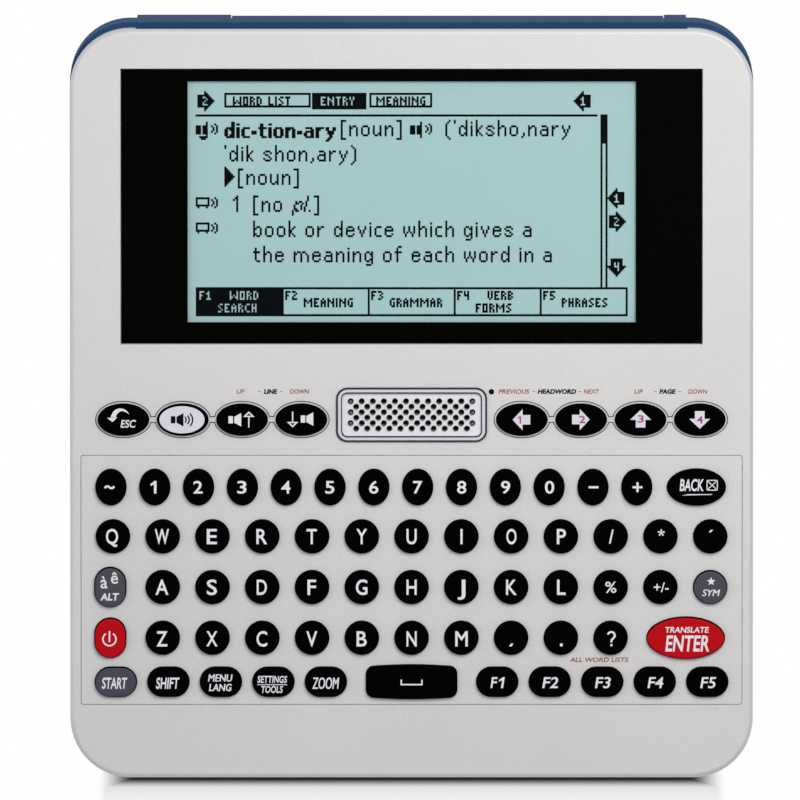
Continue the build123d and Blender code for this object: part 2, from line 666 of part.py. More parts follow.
# ---- Battery door ---------------------------------------------------------------------------
DOOR_FRONT = BAY_FRONT + DOOR_CLEARANCE
TONGUE_RUN = CELL_DIAMETER / 2
with BuildPart() as battery_door:
    add(hump_form(DOOR_STEP))
    add(hump_form(WALL), mode=Mode.SUBTRACT)
    with BuildSketch(Plane.XY):
        with Locations((DOOR_X, DOOR_FRONT + FAR / 2)):
            Rectangle(DOOR_WIDTH, FAR)
    extrude(amount=DOOR_WALL_TOP, mode=Mode.INTERSECT)
    with BuildSketch(Plane.XY.offset(BAY_FLOOR - DOOR_TONGUE_THICKNESS)):
        with Locations((DOOR_X, DOOR_FRONT + TONGUE_RUN / 2)):
            Rectangle(DOOR_WIDTH + 2 * DOOR_TONGUE, TONGUE_RUN)
    extrude(amount=DOOR_TONGUE_THICKNESS)
    with BuildSketch(Plane.XY):
        with Locations((DOOR_X, DOOR_FRONT + TONGUE_RUN)):
            with GridLocations(DOOR_GRIP[0], DOOR_GRIP_PITCH, 1, DOOR_GRIP_COUNT):
                Rectangle(DOOR_GRIP[0], DOOR_GRIP[1])
    extrude(amount=HUMP_STAND + DOOR_STEP + DOOR_GRIP[2], mode=Mode.SUBTRACT)
battery_door.part.label = "battery_door"
export_step(battery_door.part, "parts/battery_door.step")

# ---- Batteries and their contacts -----------------------------------------------------------
BAY_LEFT = -BAY_LENGTH / 2
SPRING_START = BAY_LEFT + CONTACT_THICKNESS
FIRST_CELL = SPRING_START + SPRING_LENGTH + CELL_CLEARANCE
with BuildPart() as battery_cells:
    for start in (FIRST_CELL, FIRST_CELL + CELL_LENGTH + CELL_CLEARANCE):
        with BuildSketch(Plane.YZ.offset(start)):
            with Locations((CELL_Y, CELL_Z)):
                Circle(CELL_DIAMETER / 2)
        extrude(amount=CELL_LENGTH - CELL_BUTTON[1])
        with BuildSketch(Plane.YZ.offset(start + CELL_LENGTH - CELL_BUTTON[1])):
            with Locations((CELL_Y, CELL_Z)):
                Circle(CELL_BUTTON[0] / 2)
        extrude(amount=CELL_BUTTON[1])
battery_cells.part.label = "battery_cells"
export_step(battery_cells.part, "parts/battery_cells.step")

with BuildPart() as contact_plates:
    for start in (BAY_LEFT, BAY_LEFT + BAY_LENGTH - CONTACT_THICKNESS):
        with BuildSketch(Plane.YZ.offset(start)):
            with Locations((CELL_Y, CELL_Z)):
                RectangleRounded(*CONTACT_SIZE, SPRING_WIRE)
        extrude(amount=CONTACT_THICKNESS)
contact_plates.part.label = "contact_plates"
export_step(contact_plates.part, "parts/contact_plates.step")

# The coil between the left plate and the first cell, closed up to a tapering sleeve.
SPRING_ENDS = ((SPRING_START, CELL_DIAMETER / 3), (SPRING_START + SPRING_LENGTH, CELL_DIAMETER / 5))
with BuildPart() as battery_spring:
    for shrink, mode in ((0, Mode.ADD), (SPRING_WIRE, Mode.SUBTRACT)):
        for start, radius in SPRING_ENDS:
            with BuildSketch(Plane.YZ.offset(start)):
                with Locations((CELL_Y, CELL_Z)):
                    Circle(radius - shrink)
        loft(mode=mode)
battery_spring.part.label = "battery_spring"
export_step(battery_spring.part, "parts/battery_spring.step")

# ---- Display --------------------------------------------------------------------------------
with BuildPart() as display_window:
    with BuildSketch(FACE.offset(-WINDOW_THICKNESS)):
        window_opening(SEAM)
    extrude(amount=WINDOW_THICKNESS)
display_window.part.label = "display_window"
export_step(display_window.part, "parts/display_window.step")

with BuildPart() as display_gasket:
    with BuildSketch(FACE.offset(-GLASS_TOP)):
        screen_block(0)
        with Locations((0, SCREEN_MIDDLE)):
            Rectangle(
                SCREEN_WIDTH + GLASS_END_BORDER,
                SCREEN_HEIGHT + GLASS_END_BORDER,
                mode=Mode.SUBTRACT,
            )
    extrude(amount=GASKET_THICKNESS)
display_gasket.part.label = "display_gasket"
export_step(display_gasket.part, "parts/display_gasket.step")

# Two sheets of glass, the upper one short at the bottom edge where the flexible cable bonds.
SCREEN_LOW = SCREEN_MIDDLE - SCREEN_HEIGHT / 2 - GLASS_END_BORDER
with BuildPart() as lcd_panel:
    with BuildSketch(FACE.offset(-BACKLIGHT_TOP)):
        screen_block(0)
    extrude(amount=GLASS_THICKNESS)
    with BuildSketch(FACE.offset(-GLASS_TOP)):
        with Locations((0, SCREEN_LOW)):
            Rectangle(CASE_WIDTH, GLASS_END_BORDER)
    extrude(amount=-GLASS_THICKNESS / 2, mode=Mode.SUBTRACT)
lcd_panel.part.label = "lcd_panel"
export_step(lcd_panel.part, "parts/lcd_panel.step")

with BuildPart() as lcd_backlight:
    with BuildSketch(FACE.offset(-TRAY_TOP)):
        screen_block(0)
    extrude(amount=BACKLIGHT_THICKNESS)
lcd_backlight.part.label = "lcd_backlight"
export_step(lcd_backlight.part, "parts/lcd_backlight.step")

# Folded sheet tray round the glass and backlight, with two ears a side screwed to the front case.
with BuildPart() as lcd_frame:
    with BuildSketch(FACE.offset(-TRAY_BACK)):
        screen_block(FRAME_CLEARANCE + FRAME_SHEET)
        for way in (-1, 1):
            with Locations((0, WINDOW_MIDDLE + way * LCD_SCREW_SPREAD / 2)):
                RectangleRounded(2 * (LCD_SCREW_X + POST_RADIUS), 2 * POST_RADIUS, FIT)
        with Locations(*LCD_SCREWS):
            Circle(BOARD_SCREW_RADIUS + FIT, mode=Mode.SUBTRACT)
    extrude(amount=FRAME_SHEET)
    with BuildSketch(FACE.offset(-TRAY_TOP)):
        screen_block(FRAME_CLEARANCE + FRAME_SHEET)
        with BuildSketch(mode=Mode.PRIVATE) as tray_hollow:
            screen_block(FRAME_CLEARANCE)
        add(tray_hollow.sketch, mode=Mode.SUBTRACT)
        with Locations((0, SCREEN_LOW)):
            Rectangle(FLEX_WIDTH + 2 * FRAME_CLEARANCE, 2 * LEDGE, mode=Mode.SUBTRACT)
    extrude(amount=TRAY_TOP - GLASS_TOP)
lcd_frame.part.label = "lcd_frame"
export_step(lcd_frame.part, "parts/lcd_frame.step")

# ---- Board, mat and what they carry ---------------------------------------------------------
BOARD_EDGE = CASE_WIDTH / 2 - BOARD_INSET
BOARD_TOP_EDGE = SIDE_SCREW_V + POST_RADIUS + LEDGE
with BuildPart() as main_board:
    with BuildSketch(FACE.offset(-BOARD_BOTTOM)):
        with Locations((0, (BOARD_INSET + BOARD_TOP_EDGE) / 2)):
            Rectangle(2 * BOARD_EDGE, BOARD_TOP_EDGE - BOARD_INSET)
        for side in (-1, 1):
            with Locations((side * BOARD_EDGE, BOARD_INSET)):
                Rectangle(2 * BOARD_NOTCH, 2 * (BOARD_NOTCH - BOARD_INSET), mode=Mode.SUBTRACT)
        with Locations(*CASE_SCREWS):
            Circle(REAR_BOSS + HEAD_GAP, mode=Mode.SUBTRACT)
        with Locations(*BOARD_SCREWS):
            Circle(BOARD_SCREW_RADIUS + FIT, mode=Mode.SUBTRACT)
        with BuildSketch(mode=Mode.PRIVATE) as driver_hole:
            driver_opening(LEDGE)
        add(driver_hole.sketch, mode=Mode.SUBTRACT)
    extrude(amount=BOARD_THICKNESS)
main_board.part.label = "main_board"
export_step(main_board.part, "parts/main_board.step")

# Silicone sheet over the board. Its domes are drawn at the height they have when pressed flat.
MAT_EDGE = BOARD_EDGE + LEDGE
with BuildPart() as key_mat:
    with BuildSketch(FACE.offset(-BOARD_TOP)):
        with Locations((0, PANEL_MIDDLE)):
            Rectangle(2 * MAT_EDGE, PANEL_HEIGHT - 2 * LEDGE)
        with Locations((0, PANEL_TOP)):
            Rectangle(2 * MAT_EDGE, 2 * (FUNCTION_ROW_STEP + DOME_RADIUS + LEDGE))
        with Locations((0, SPEAKER_ROW)):
            Rectangle(
                BEZEL[0] + 2 * BEZEL_FLANGE + 2 * LEDGE,
                BEZEL[1] + 2 * BEZEL_FLANGE + 2 * LEDGE,
                mode=Mode.SUBTRACT,
            )
    extrude(amount=MAT_SHEET)
    with BuildSketch(FACE.offset(-MAT_TOP)):
        for draw, spots in (FUNCTION_KEYS | PANEL_KEYS).values():
            with Locations(*spots):
                RegularPolygon(DOME_RADIUS, DOME_SIDES)
    extrude(amount=DOME_HEIGHT, taper=DOME_TAPER)
key_mat.part.label = "key_mat"
export_step(key_mat.part, "parts/key_mat.step")


def under_board(size, spots):
    """Blocks soldered to the back of the board, each width by height by depth."""
    with BuildPart() as blocks:
        with BuildSketch(FACE.offset(-BOARD_BOTTOM)):
            with Locations(*spots):
                Rectangle(*size[:2])
        extrude(amount=-size[2])
    return blocks.part


CHIP_V = BOARD_INSET + CHIP_ROW
SMALL_PART_V = BOARD_INSET + SMALL_PART_ROW
with BuildPart() as processor_chip:
    add(under_board(PROCESSOR, [(PROCESSOR_X, CHIP_V)]))
processor_chip.part.label = "processor_chip"
export_step(processor_chip.part, "parts/processor_chip.step")

with BuildPart() as memory_chips:
    add(under_board(MEMORY, [(MEMORY_X, CHIP_V), (MEMORY_X + MEMORY_PITCH, CHIP_V)]))
memory_chips.part.label = "memory_chips"
export_step(memory_chips.part, "parts/memory_chips.step")

CONNECTOR_V = BOARD_TOP_EDGE - CONNECTOR[1] - LEDGE
with BuildPart() as board_components:
    add(under_board(CRYSTAL, [(PROCESSOR_X, SMALL_PART_V)]))
    add(under_board(CAPACITOR, [(CAPACITOR_X + i * CAPACITOR_PITCH, SMALL_PART_V) for i in (0, 1)]))
    add(under_board(CONNECTOR, [(0, CONNECTOR_V)]))
    add(under_board((2 * RESET_SWITCH, 2 * RESET_SWITCH, RESET_SWITCH), [RESET_SPOT]))
board_components.part.label = "board_components"
export_step(board_components.part, "parts/board_components.step")

# Flexible cable: off the glass, down past the board's top edge and back under it to its connector.
FLEX_OUTER_V = BOARD_TOP_EDGE + FLEX_THICKNESS + FIT
FLEX_START = BACKLIGHT_TOP - FLEX_THICKNESS
FLEX_RUN = BOARD_BOTTOM + FLEX_THICKNESS
FLEX_LINE = [
    (SCREEN_LOW, -FLEX_START),
    (FLEX_OUTER_V, -FLEX_START),
    (FLEX_OUTER_V, -FLEX_RUN),
    (CONNECTOR_V + CONNECTOR[1] / 2, -FLEX_RUN),
]
with BuildPart() as lcd_flex_cable:
    with BuildSketch(SIDE.offset(-FLEX_WIDTH / 2)):
        with BuildLine():
            FilletPolyline(*FLEX_LINE, radius=2 * FLEX_THICKNESS)
        trace(line_width=FLEX_THICKNESS)
    extrude(amount=FLEX_WIDTH)
lcd_flex_cable.part.label = "lcd_flex_cable"
export_step(lcd_flex_cable.part, "parts/lcd_flex_cable.step")

# ---- Keypad panel and trims -----------------------------------------------------------------
with BuildPart() as keypad_panel:
    with BuildSketch(FACE.offset(-PANEL_THICKNESS)):
        panel_opening(SEAM)
        for draw, spots in PANEL_KEYS.values():
            with BuildSketch(mode=Mode.PRIVATE) as holes:
                with Locations(*spots):
                    draw(KEY_CLEARANCE)
            add(holes.sketch, mode=Mode.SUBTRACT)
    extrude(amount=PANEL_THICKNESS)
keypad_panel.part.label = "keypad_panel"
export_step(keypad_panel.part, "parts/keypad_panel.step")

for side, name in ((-1, "left_key_trim"), (1, "right_key_trim")):
    with BuildPart() as key_trim:
        with BuildSketch(FACE.offset(-PANEL_THICKNESS)):
            trim_outline(side, 0)
            with Locations(*[(side * function_x(i), FUNCTION_ROW) for i in range(4)]):
                Ellipse(
                    FUNCTION_KEY[0] / 2 + KEY_CLEARANCE,
                    FUNCTION_KEY[1] / 2 + KEY_CLEARANCE,
                    mode=Mode.SUBTRACT,
                )
        extrude(amount=PANEL_THICKNESS + TRIM_RISE)
    key_trim.part.label = name
    export_step(key_trim.part, f"parts/{name}.step")

# ---- Keys: a cap that stands through its opening on a wider flange that stops it falling out ---
for name, (draw, spots) in (FUNCTION_KEYS | PANEL_KEYS).items():
    with BuildPart() as key:
        with BuildSketch(FACE.offset(-FLANGE_BOTTOM)):
            with Locations(*spots):
                draw(FLANGE_REACH)
        extrude(amount=FLANGE_THICKNESS)
        with BuildSketch(FACE.offset(-FLANGE_TOP)):
            with Locations(*spots):
                draw(0)
        extrude(amount=FLANGE_TOP + KEY_RISE)
        tops = key.faces().group_by(OUTWARDS)[-1]
        chamfer(tops.edges(), KEY_EDGE)
    key.part.label = name
    export_step(key.part, f"parts/{name}.step")

# ---- Speaker --------------------------------------------------------------------------------
BEZEL_BACK = FACE_WALL + BEZEL_FLANGE_THICKNESS
GRILLE_BACK = GRILLE_SINK + GRILLE_THICKNESS
with BuildPart() as speaker_bezel:
    with BuildSketch(FACE.offset(-BEZEL_BACK)):
        bezel_opening(0)
    extrude(amount=BEZEL_BACK + BEZEL_RISE)
    chamfer(speaker_bezel.faces().sort_by(OUTWARDS)[-1].edges(), BEZEL_RISE / 2)
    with BuildSketch(FACE.offset(-BEZEL_BACK)):
        bezel_opening(-BEZEL_FLANGE)
    extrude(amount=BEZEL_FLANGE_THICKNESS)
    with BuildSketch(FACE.offset(BEZEL_RISE)):
        bezel_opening(BEZEL_BORDER)
    extrude(amount=-BEZEL_RISE - GRILLE_BACK, mode=Mode.SUBTRACT)
    with BuildSketch(FACE.offset(BEZEL_RISE)):
        bezel_opening(BEZEL_BORDER + GRILLE_SEAT)
    extrude(amount=-BEZEL_RISE - BEZEL_BACK, mode=Mode.SUBTRACT)
speaker_bezel.part.label = "speaker_bezel"
export_step(speaker_bezel.part, "parts/speaker_bezel.step")

# Perforated plate: rows of twelve and eleven holes by turns. The holes' eight flats keep it light.
with BuildPart() as speaker_grille:
    with BuildSketch(FACE.offset(-GRILLE_BACK)):
        bezel_opening(BEZEL_BORDER + GRILLE_CLEARANCE)
        for count, shift in ((HOLE_COLUMNS, 0.5), (HOLE_COLUMNS - 1, -0.5)):
            with Locations((0, SPEAKER_ROW + shift * HOLE_ROW_STEP)):
                with GridLocations(HOLE_PITCH, 2 * HOLE_ROW_STEP, count, HOLE_ROWS):
                    RegularPolygon(HOLE_RADIUS, 8, mode=Mode.SUBTRACT)
    extrude(amount=GRILLE_THICKNESS)
speaker_grille.part.label = "speaker_grille"
export_step(speaker_grille.part, "parts/speaker_grille.step")

DRIVER_TOP = BEZEL_BACK + SPEAKER_GASKET
DRIVER_RIM = DRIVER[2] / 4
with BuildPart() as speaker_gasket:
    with BuildSketch(FACE.offset(-DRIVER_TOP)):
        driver_opening(0)
        with BuildSketch(mode=Mode.PRIVATE) as gasket_hollow:
            driver_opening(-LEDGE)
        add(gasket_hollow.sketch, mode=Mode.SUBTRACT)
    extrude(amount=SPEAKER_GASKET)
speaker_gasket.part.label = "speaker_gasket"
export_step(speaker_gasket.part, "parts/speaker_gasket.step")

with BuildPart() as speaker_driver:
    with BuildSketch(FACE.offset(-DRIVER_TOP)):
        driver_opening(0)
    extrude(amount=-DRIVER_RIM)
    with BuildSketch(FACE.offset(-DRIVER_TOP - DRIVER_RIM)):
        driver_opening(-LEDGE)
    extrude(amount=-DRIVER_RIM)
    with BuildSketch(FACE.offset(-DRIVER_TOP - 2 * DRIVER_RIM)):
        with Locations((0, SPEAKER_ROW)):
            Circle(DRIVER[1] / 2 - LEDGE)
    extrude(amount=2 * DRIVER_RIM - DRIVER[2])
    with BuildSketch(FACE.offset(-DRIVER_TOP)):
        driver_opening(-2 * LEDGE)
    extrude(amount=-DRIVER_RIM, taper=DOME_TAPER, mode=Mode.SUBTRACT)
speaker_driver.part.label = "speaker_driver"
export_step(speaker_driver.part, "parts/speaker_driver.step")

# ---- Indicator, jack and reset --------------------------------------------------------------
with BuildPart() as indicator_lens:
    with BuildSketch(FACE.offset(-FACE_WALL)):
        with Locations((INDICATOR_SPOT[0], SPEAKER_ROW + INDICATOR_SPOT[1])):
            Circle(INDICATOR_RADIUS - TRIM_FIT)
    extrude(amount=FACE_WALL)
indicator_lens.part.label = "indicator_lens"
export_step(indicator_lens.part, "parts/indicator_lens.step")

# The jack's barrel is flush with the left wall, and its body hangs under the board.
JACK_MOUTH = FIT - CASE_WIDTH / 2
JACK_BODY_START = WALL + FIT - CASE_WIDTH / 2
with BuildPart() as headphone_jack:
    with BuildSketch(SIDE.offset(JACK_MOUTH)):
        with Locations((JACK_V, -JACK_DEPTH)):
            Circle(JACK_NOSE)
    extrude(amount=JACK_BODY_START - JACK_MOUTH)
    with BuildSketch(SIDE.offset(JACK_BODY_START)):
        with Locations((JACK_V, -JACK_DEPTH)):
            Rectangle(JACK_BODY[1], 2 * (JACK_DEPTH - BOARD_BOTTOM))
    extrude(amount=JACK_BODY[0])
    with BuildSketch(SIDE.offset(JACK_MOUTH)):
        with Locations((JACK_V, -JACK_DEPTH)):
            Circle(JACK_BORE)
    extrude(amount=JACK_BORE_LENGTH, mode=Mode.SUBTRACT)
headphone_jack.part.label = "headphone_jack"
export_step(headphone_jack.part, "parts/headphone_jack.step")

RESET_FLANGE_BACK = RESET_GUIDE_TOP - KEY_REST_GAP
RESET_TIP = BOARD_BOTTOM + RESET_SWITCH + RESET_TRAVEL + KEY_REST_GAP
with BuildPart() as reset_button:
    with BuildSketch(FACE.offset(-slab_depth(RESET_SPOT[1]) + RESET_SINK)):
        with Locations(RESET_SPOT):
            Circle(RESET_RADIUS)
    extrude(amount=slab_depth(RESET_SPOT[1]) - RESET_SINK - RESET_TIP)
    with BuildSketch(FACE.offset(-RESET_FLANGE_BACK)):
        with Locations(RESET_SPOT):
            Circle(2 * RESET_RADIUS)
    extrude(amount=FLANGE_THICKNESS)
reset_button.part.label = "reset_button"
export_step(reset_button.part, "parts/reset_button.step")

# ---- Screws and feet ------------------------------------------------------------------------
with BuildPart() as case_screws:
    with BuildSketch(FACE.offset(-SCREW_SEAT - SCREW_HEAD[1])):
        with Locations(*CASE_SCREWS):
            Circle(SCREW_HEAD[0])
    extrude(amount=SCREW_HEAD[1])
    with BuildSketch(FACE.offset(-SCREW_SEAT)):
        with Locations(*CASE_SCREWS):
            Circle(SCREW_RADIUS)
    extrude(amount=SCREW_LENGTH)
case_screws.part.label = "case_screws"
export_step(case_screws.part, "parts/case_screws.step")

with BuildPart() as board_screws:
    for seat, spots in ((BOARD_BOTTOM, BOARD_SCREWS), (TRAY_BACK, LCD_SCREWS)):
        with BuildSketch(FACE.offset(-seat - BOARD_SCREW_HEAD[1])):
            with Locations(*spots):
                Circle(BOARD_SCREW_HEAD[0])
        extrude(amount=BOARD_SCREW_HEAD[1])
        with BuildSketch(FACE.offset(-seat)):
            with Locations(*spots):
                Circle(BOARD_SCREW_RADIUS)
        extrude(amount=seat - SCREW_REACH - HEAD_GAP)
board_screws.part.label = "board_screws"
export_step(board_screws.part, "parts/board_screws.step")

with BuildPart() as rubber_feet:
    for x, y, top in FEET:
        with BuildSketch(Plane.XY):
            with Locations((x, y)):
                Circle(FOOT_RADIUS)
        extrude(amount=top)
rubber_feet.part.label = "rubber_feet"
export_step(rubber_feet.part, "parts/rubber_feet.step")
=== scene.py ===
"""Electronic dictionary: silver painted face, blue moulded back, black keys and a grey-green display."""

from __future__ import annotations

import functools
import json
import logging
import math
from collections.abc import Callable
from dataclasses import dataclass, field
from enum import Enum

import bmesh
import bpy
import numpy as np
from mathutils import Matrix, Vector

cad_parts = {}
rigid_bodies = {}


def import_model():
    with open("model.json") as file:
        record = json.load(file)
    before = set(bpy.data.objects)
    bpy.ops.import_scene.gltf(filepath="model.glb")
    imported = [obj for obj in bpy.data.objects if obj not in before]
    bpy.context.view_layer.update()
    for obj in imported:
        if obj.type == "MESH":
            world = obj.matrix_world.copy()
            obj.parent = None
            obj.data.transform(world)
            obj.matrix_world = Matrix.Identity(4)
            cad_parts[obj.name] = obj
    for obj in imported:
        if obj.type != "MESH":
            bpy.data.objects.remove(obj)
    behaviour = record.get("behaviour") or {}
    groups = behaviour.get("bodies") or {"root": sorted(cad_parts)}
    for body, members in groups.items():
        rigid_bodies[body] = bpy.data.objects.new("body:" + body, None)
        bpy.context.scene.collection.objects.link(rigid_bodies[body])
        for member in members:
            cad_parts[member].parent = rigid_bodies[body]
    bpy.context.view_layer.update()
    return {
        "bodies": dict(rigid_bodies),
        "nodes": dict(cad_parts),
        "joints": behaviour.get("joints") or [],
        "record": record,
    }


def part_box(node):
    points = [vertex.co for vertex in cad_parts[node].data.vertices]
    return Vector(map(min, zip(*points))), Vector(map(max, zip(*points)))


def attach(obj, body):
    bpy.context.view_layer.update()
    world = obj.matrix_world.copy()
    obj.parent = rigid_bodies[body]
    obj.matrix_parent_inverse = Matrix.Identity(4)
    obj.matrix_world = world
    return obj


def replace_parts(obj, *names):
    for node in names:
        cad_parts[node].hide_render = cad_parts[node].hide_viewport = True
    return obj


MM = 0.001
LOG = logging.getLogger("dictionary")
Point = tuple[float, float]
Loop = tuple[Point, ...]


# ---- Colour and nodes ----------------------------------------------------------------------------
def linear(code: str) -> tuple[float, float, float, float]:
    """Turns an sRGB hex colour to linear light.

    Args:
        code: the colour as #RRGGBB.

    Returns:
        Red, green, blue and an alpha of 1.
    """
    parts = [int(code[i : i + 2], 16) / 255 for i in (1, 3, 5)]
    red, green, blue = (c / 12.92 if c <= 0.04045 else ((c + 0.055) / 1.055) ** 2.4 for c in parts)
    return red, green, blue, 1.0


def put_node(
    tree: bpy.types.NodeTree, kind: str, settings: dict | None = None, links: dict | None = None
) -> bpy.types.Node:
    """Adds a shader node to a tree.

    Args:
        tree: where it goes.
        kind: the node's type name, without ShaderNode.
        settings: property or socket values by name or socket number.
        links: output sockets to join to its inputs, by name or number.

    Returns:
        The new node.
    """
    made = tree.nodes.new(f"ShaderNode{kind}")
    for name, value in (settings or {}).items():
        if isinstance(name, str) and hasattr(made, name):
            setattr(made, name, value)
        else:
            made.inputs[name].default_value = value
    for name, socket in (links or {}).items():
        tree.links.new(socket, made.inputs[name])
    return made


def new_material(name: str) -> tuple[bpy.types.Material, Callable[..., bpy.types.Node]]:
    """Starts a material.

    Args:
        name: its name.

    Returns:
        The material, and put_node for its empty tree.
    """
    material = bpy.data.materials.new(name)
    material.use_nodes = True
    material.node_tree.nodes.clear()
    return material, functools.partial(put_node, material.node_tree)


# ---- Finishes ------------------------------------------------------------------------------------
@dataclass(frozen=True)
class Moulded:
    """A moulded, painted or printed surface: mottled colour, uneven gloss and a fine relief.

    Lengths are in millimetres.
    """

    name: str
    colour: str
    shade: str
    roughness: float
    grain: float = 0.5
    relief: float = 0.01
    mottle: float = 18.0
    metallic: float = 0.0
    specular: float = 0.5
    flake: float = 0.0
    flake_size: float = 0.3
    gloss_spread: float = 0.05

    def material(self) -> bpy.types.Material:
        """Makes the material, or finds it if it was made before."""
        if self.name in bpy.data.materials:
            return bpy.data.materials[self.name]
        material, put = new_material(self.name)
        place = {"Vector": put("TexCoord").outputs["Object"]}
        mottle = put("TexNoise", {"Scale": 1 / (self.mottle * MM), "Detail": 3.0}, place)
        colours = {"data_type": "RGBA", 6: linear(self.colour), 7: linear(self.shade)}
        base = put("Mix", colours, {0: mottle.outputs["Fac"]}).outputs[2]
        if self.flake:
            cell = put("TexNoise", {"Scale": 1 / (self.flake_size * MM), "Detail": 1.0}, place)
            span = {"From Min": 0.3, "From Max": 0.7, "To Min": 1 - self.flake, "To Max": 1 + self.flake}
            level = put("MapRange", span, {"Value": cell.outputs["Fac"]}).outputs["Result"]
            base = put("VectorMath", {"operation": "MULTIPLY"}, {0: base, 1: level}).outputs["Vector"]
        grain = put("TexNoise", {"Scale": 1 / (self.grain * MM), "Detail": 2.0}, place).outputs["Fac"]
        span = {"To Min": self.roughness - self.gloss_spread, "To Max": self.roughness + self.gloss_spread}
        gloss = put("MapRange", span, {"Value": grain}).outputs["Result"]
        bump = put("Bump", {"Strength": 0.6, "Distance": self.relief * MM}, {"Height": grain})
        shader = put(
            "BsdfPrincipled",
            {"Metallic": self.metallic, "Specular IOR Level": self.specular},
            {"Base Color": base, "Roughness": gloss, "Normal": bump.outputs["Normal"]},
        )
        put("OutputMaterial", {}, {"Surface": shader.outputs["BSDF"]})
        return material


@dataclass(frozen=True)
class ClearAcrylic:
    """Cast acrylic sheet: see-through, with only its polished surface showing.

    The slant is low so that the sheet stays clear from straight above and mirrors more from the side.
    """

    name: str
    tint: str
    slant: float = 0.06
    dust: float = 30.0

    def material(self) -> bpy.types.Material:
        """Makes the material: light passes straight through, and more is mirrored at a slant."""
        material, put = new_material(self.name)
        place = {"Vector": put("TexCoord").outputs["Object"]}
        dust = put("TexNoise", {"Scale": 1 / (self.dust * MM), "Detail": 4.0}, place)
        gloss = put("MapRange", {"To Min": 0.03, "To Max": 0.09}, {"Value": dust.outputs["Fac"]})
        clear = put("BsdfTransparent", {"Color": linear(self.tint)}).outputs["BSDF"]
        mirror = put("BsdfGlossy", {}, {"Roughness": gloss.outputs["Result"]}).outputs["BSDF"]
        slope = put("LayerWeight", {"Blend": self.slant}).outputs["Facing"]
        sheet = put("MixShader", {}, {0: slope, 1: clear, 2: mirror})
        put("OutputMaterial", {}, {"Surface": sheet.outputs["Shader"]})
        return material


@dataclass(frozen=True)
class CellWrap:
    """Shrink film of a battery: dark with a copper band round the button end, in bands along X.

    A band begins at each of the starts. Places and widths are in metres.
    """

    name: str
    dark: str
    copper: str
    starts: tuple[float, ...]
    band: float = 12 * MM
    scuff: float = 4 * MM

    def material(self) -> bpy.types.Material:
        """Makes the material."""
        material, put = new_material(self.name)
        place = {"Vector": put("TexCoord").outputs["Object"]}
        along = put("SeparateXYZ", {}, place).outputs["X"]
        total = None
        for start in self.starts:
            inside = {"operation": "COMPARE", 1: start + self.band / 2, 2: self.band / 2}
            band = put("Math", inside, {0: along}).outputs[0]
            links = {0: band} if total is None else {0: band, 1: total}
            total = put("Math", {"operation": "ADD", 1: 0.0}, links).outputs[0]
        colours = {"data_type": "RGBA", 6: linear(self.dark), 7: linear(self.copper)}
        base = put("Mix", colours, {0: total}).outputs[2]
        scuff = put("TexNoise", {"Scale": 1 / self.scuff}, place).outputs["Fac"]
        gloss = put("MapRange", {"To Min": 0.22, "To Max": 0.42}, {"Value": scuff}).outputs["Result"]
        shader = put("BsdfPrincipled", {"Metallic": 0.6}, {"Base Color": base, "Roughness": gloss})
        put("OutputMaterial", {}, {"Surface": shader.outputs["BSDF"]})
        return material


Finish = Moulded | ClearAcrylic | CellWrap

# ABS with silver lacquer: aluminium flake under a satin clear coat, so it is speckled and even.
SILVER = Moulded(
    "silver_lacquer_on_abs",
    *("#D2D1D0", "#CCCACB", 0.58, 0.35, 0.006, 30),
    metallic=0.35,
    flake=0.035,
    flake_size=0.32,
)
SILVER_TRIM = Moulded("silver_lacquer_on_trim", "#D6D6D6", "#CECED0", 0.4, 0.4, 0.004, 12, metallic=0.3)
# ABS moulded in blue, with the soft sheen that a fine spark-eroded mould leaves.
BLUE = Moulded("blue_moulded_abs", "#24486F", "#204166", 0.6, 0.35, 0.012, 25, specular=0.03)
# ABS with pearl lacquer: paler and cooler than the face round it.
PEARL = Moulded("pearl_lacquer_on_abs", "#D1D0DA", "#C7C6D1", 0.36, 0.4, 0.004, 12, metallic=0.2)
GRILLE = Moulded("pearl_lacquer_on_grille", "#E1E2E5", "#D8D9DC", 0.42, 0.4, 0.004, 12, metallic=0.15)
# Silicone-coated keys: matte, nearly no highlight.
BLACK_KEY = Moulded("black_coated_abs", "#030304", "#010102", 0.7, 0.3, 0.008, 6, specular=0.01)
GREY_KEY = Moulded("grey_coated_abs", "#484852", "#40404A", 0.5, 0.3, 0.008, 6, specular=0.15)
RED_KEY = Moulded("red_coated_abs", "#B80A16", "#AE0812", 0.5, 0.3, 0.008, 6, specular=0.04)
# Pad-printed inks: thin, flat and slightly uneven.
WHITE_INK = Moulded("white_printing_ink", "#DEDEE3", "#D4D4DA", 0.55, 0.15, 0.002, 2)
LILAC_INK = Moulded("lilac_white_printing_ink", "#D5D3DC", "#CCCAD5", 0.5, 0.2, 0.002, 3)
# Black ink, which is also used as painted shade round the grille holes.
BLACK_INK_AND_SHADE = Moulded("black_ink_and_painted_shade", "#060607", "#0B0B0C", 0.55, 0.15, 0.002, 2, specular=0.05)
BROWN_INK = Moulded("red_brown_printing_ink", "#8E3A34", "#84332E", 0.55, 0.15, 0.002, 2)
MAGENTA_INK = Moulded("magenta_printing_ink", "#A63C7A", "#9A3570", 0.55, 0.15, 0.002, 2)
# Painted shade: dark bands that stand for the shade in the gaps round the trim chains, the speaker frame and
# the grille plate.
GAP_SHADE_PAINT = Moulded("painted_shade_in_gaps", "#2E2E34", "#27272C", 0.6, 0.2, 0.002, 3, specular=0.2)
# Back of the lens, screen-printed black and seen through polished acrylic.
LENS_PRINT = Moulded("black_print_behind_acrylic", "#030302", "#020201", 0.4, 0.6, 0.002, 25, specular=0.01)
LENS = ClearAcrylic("clear_acrylic", "#FFFFFF")
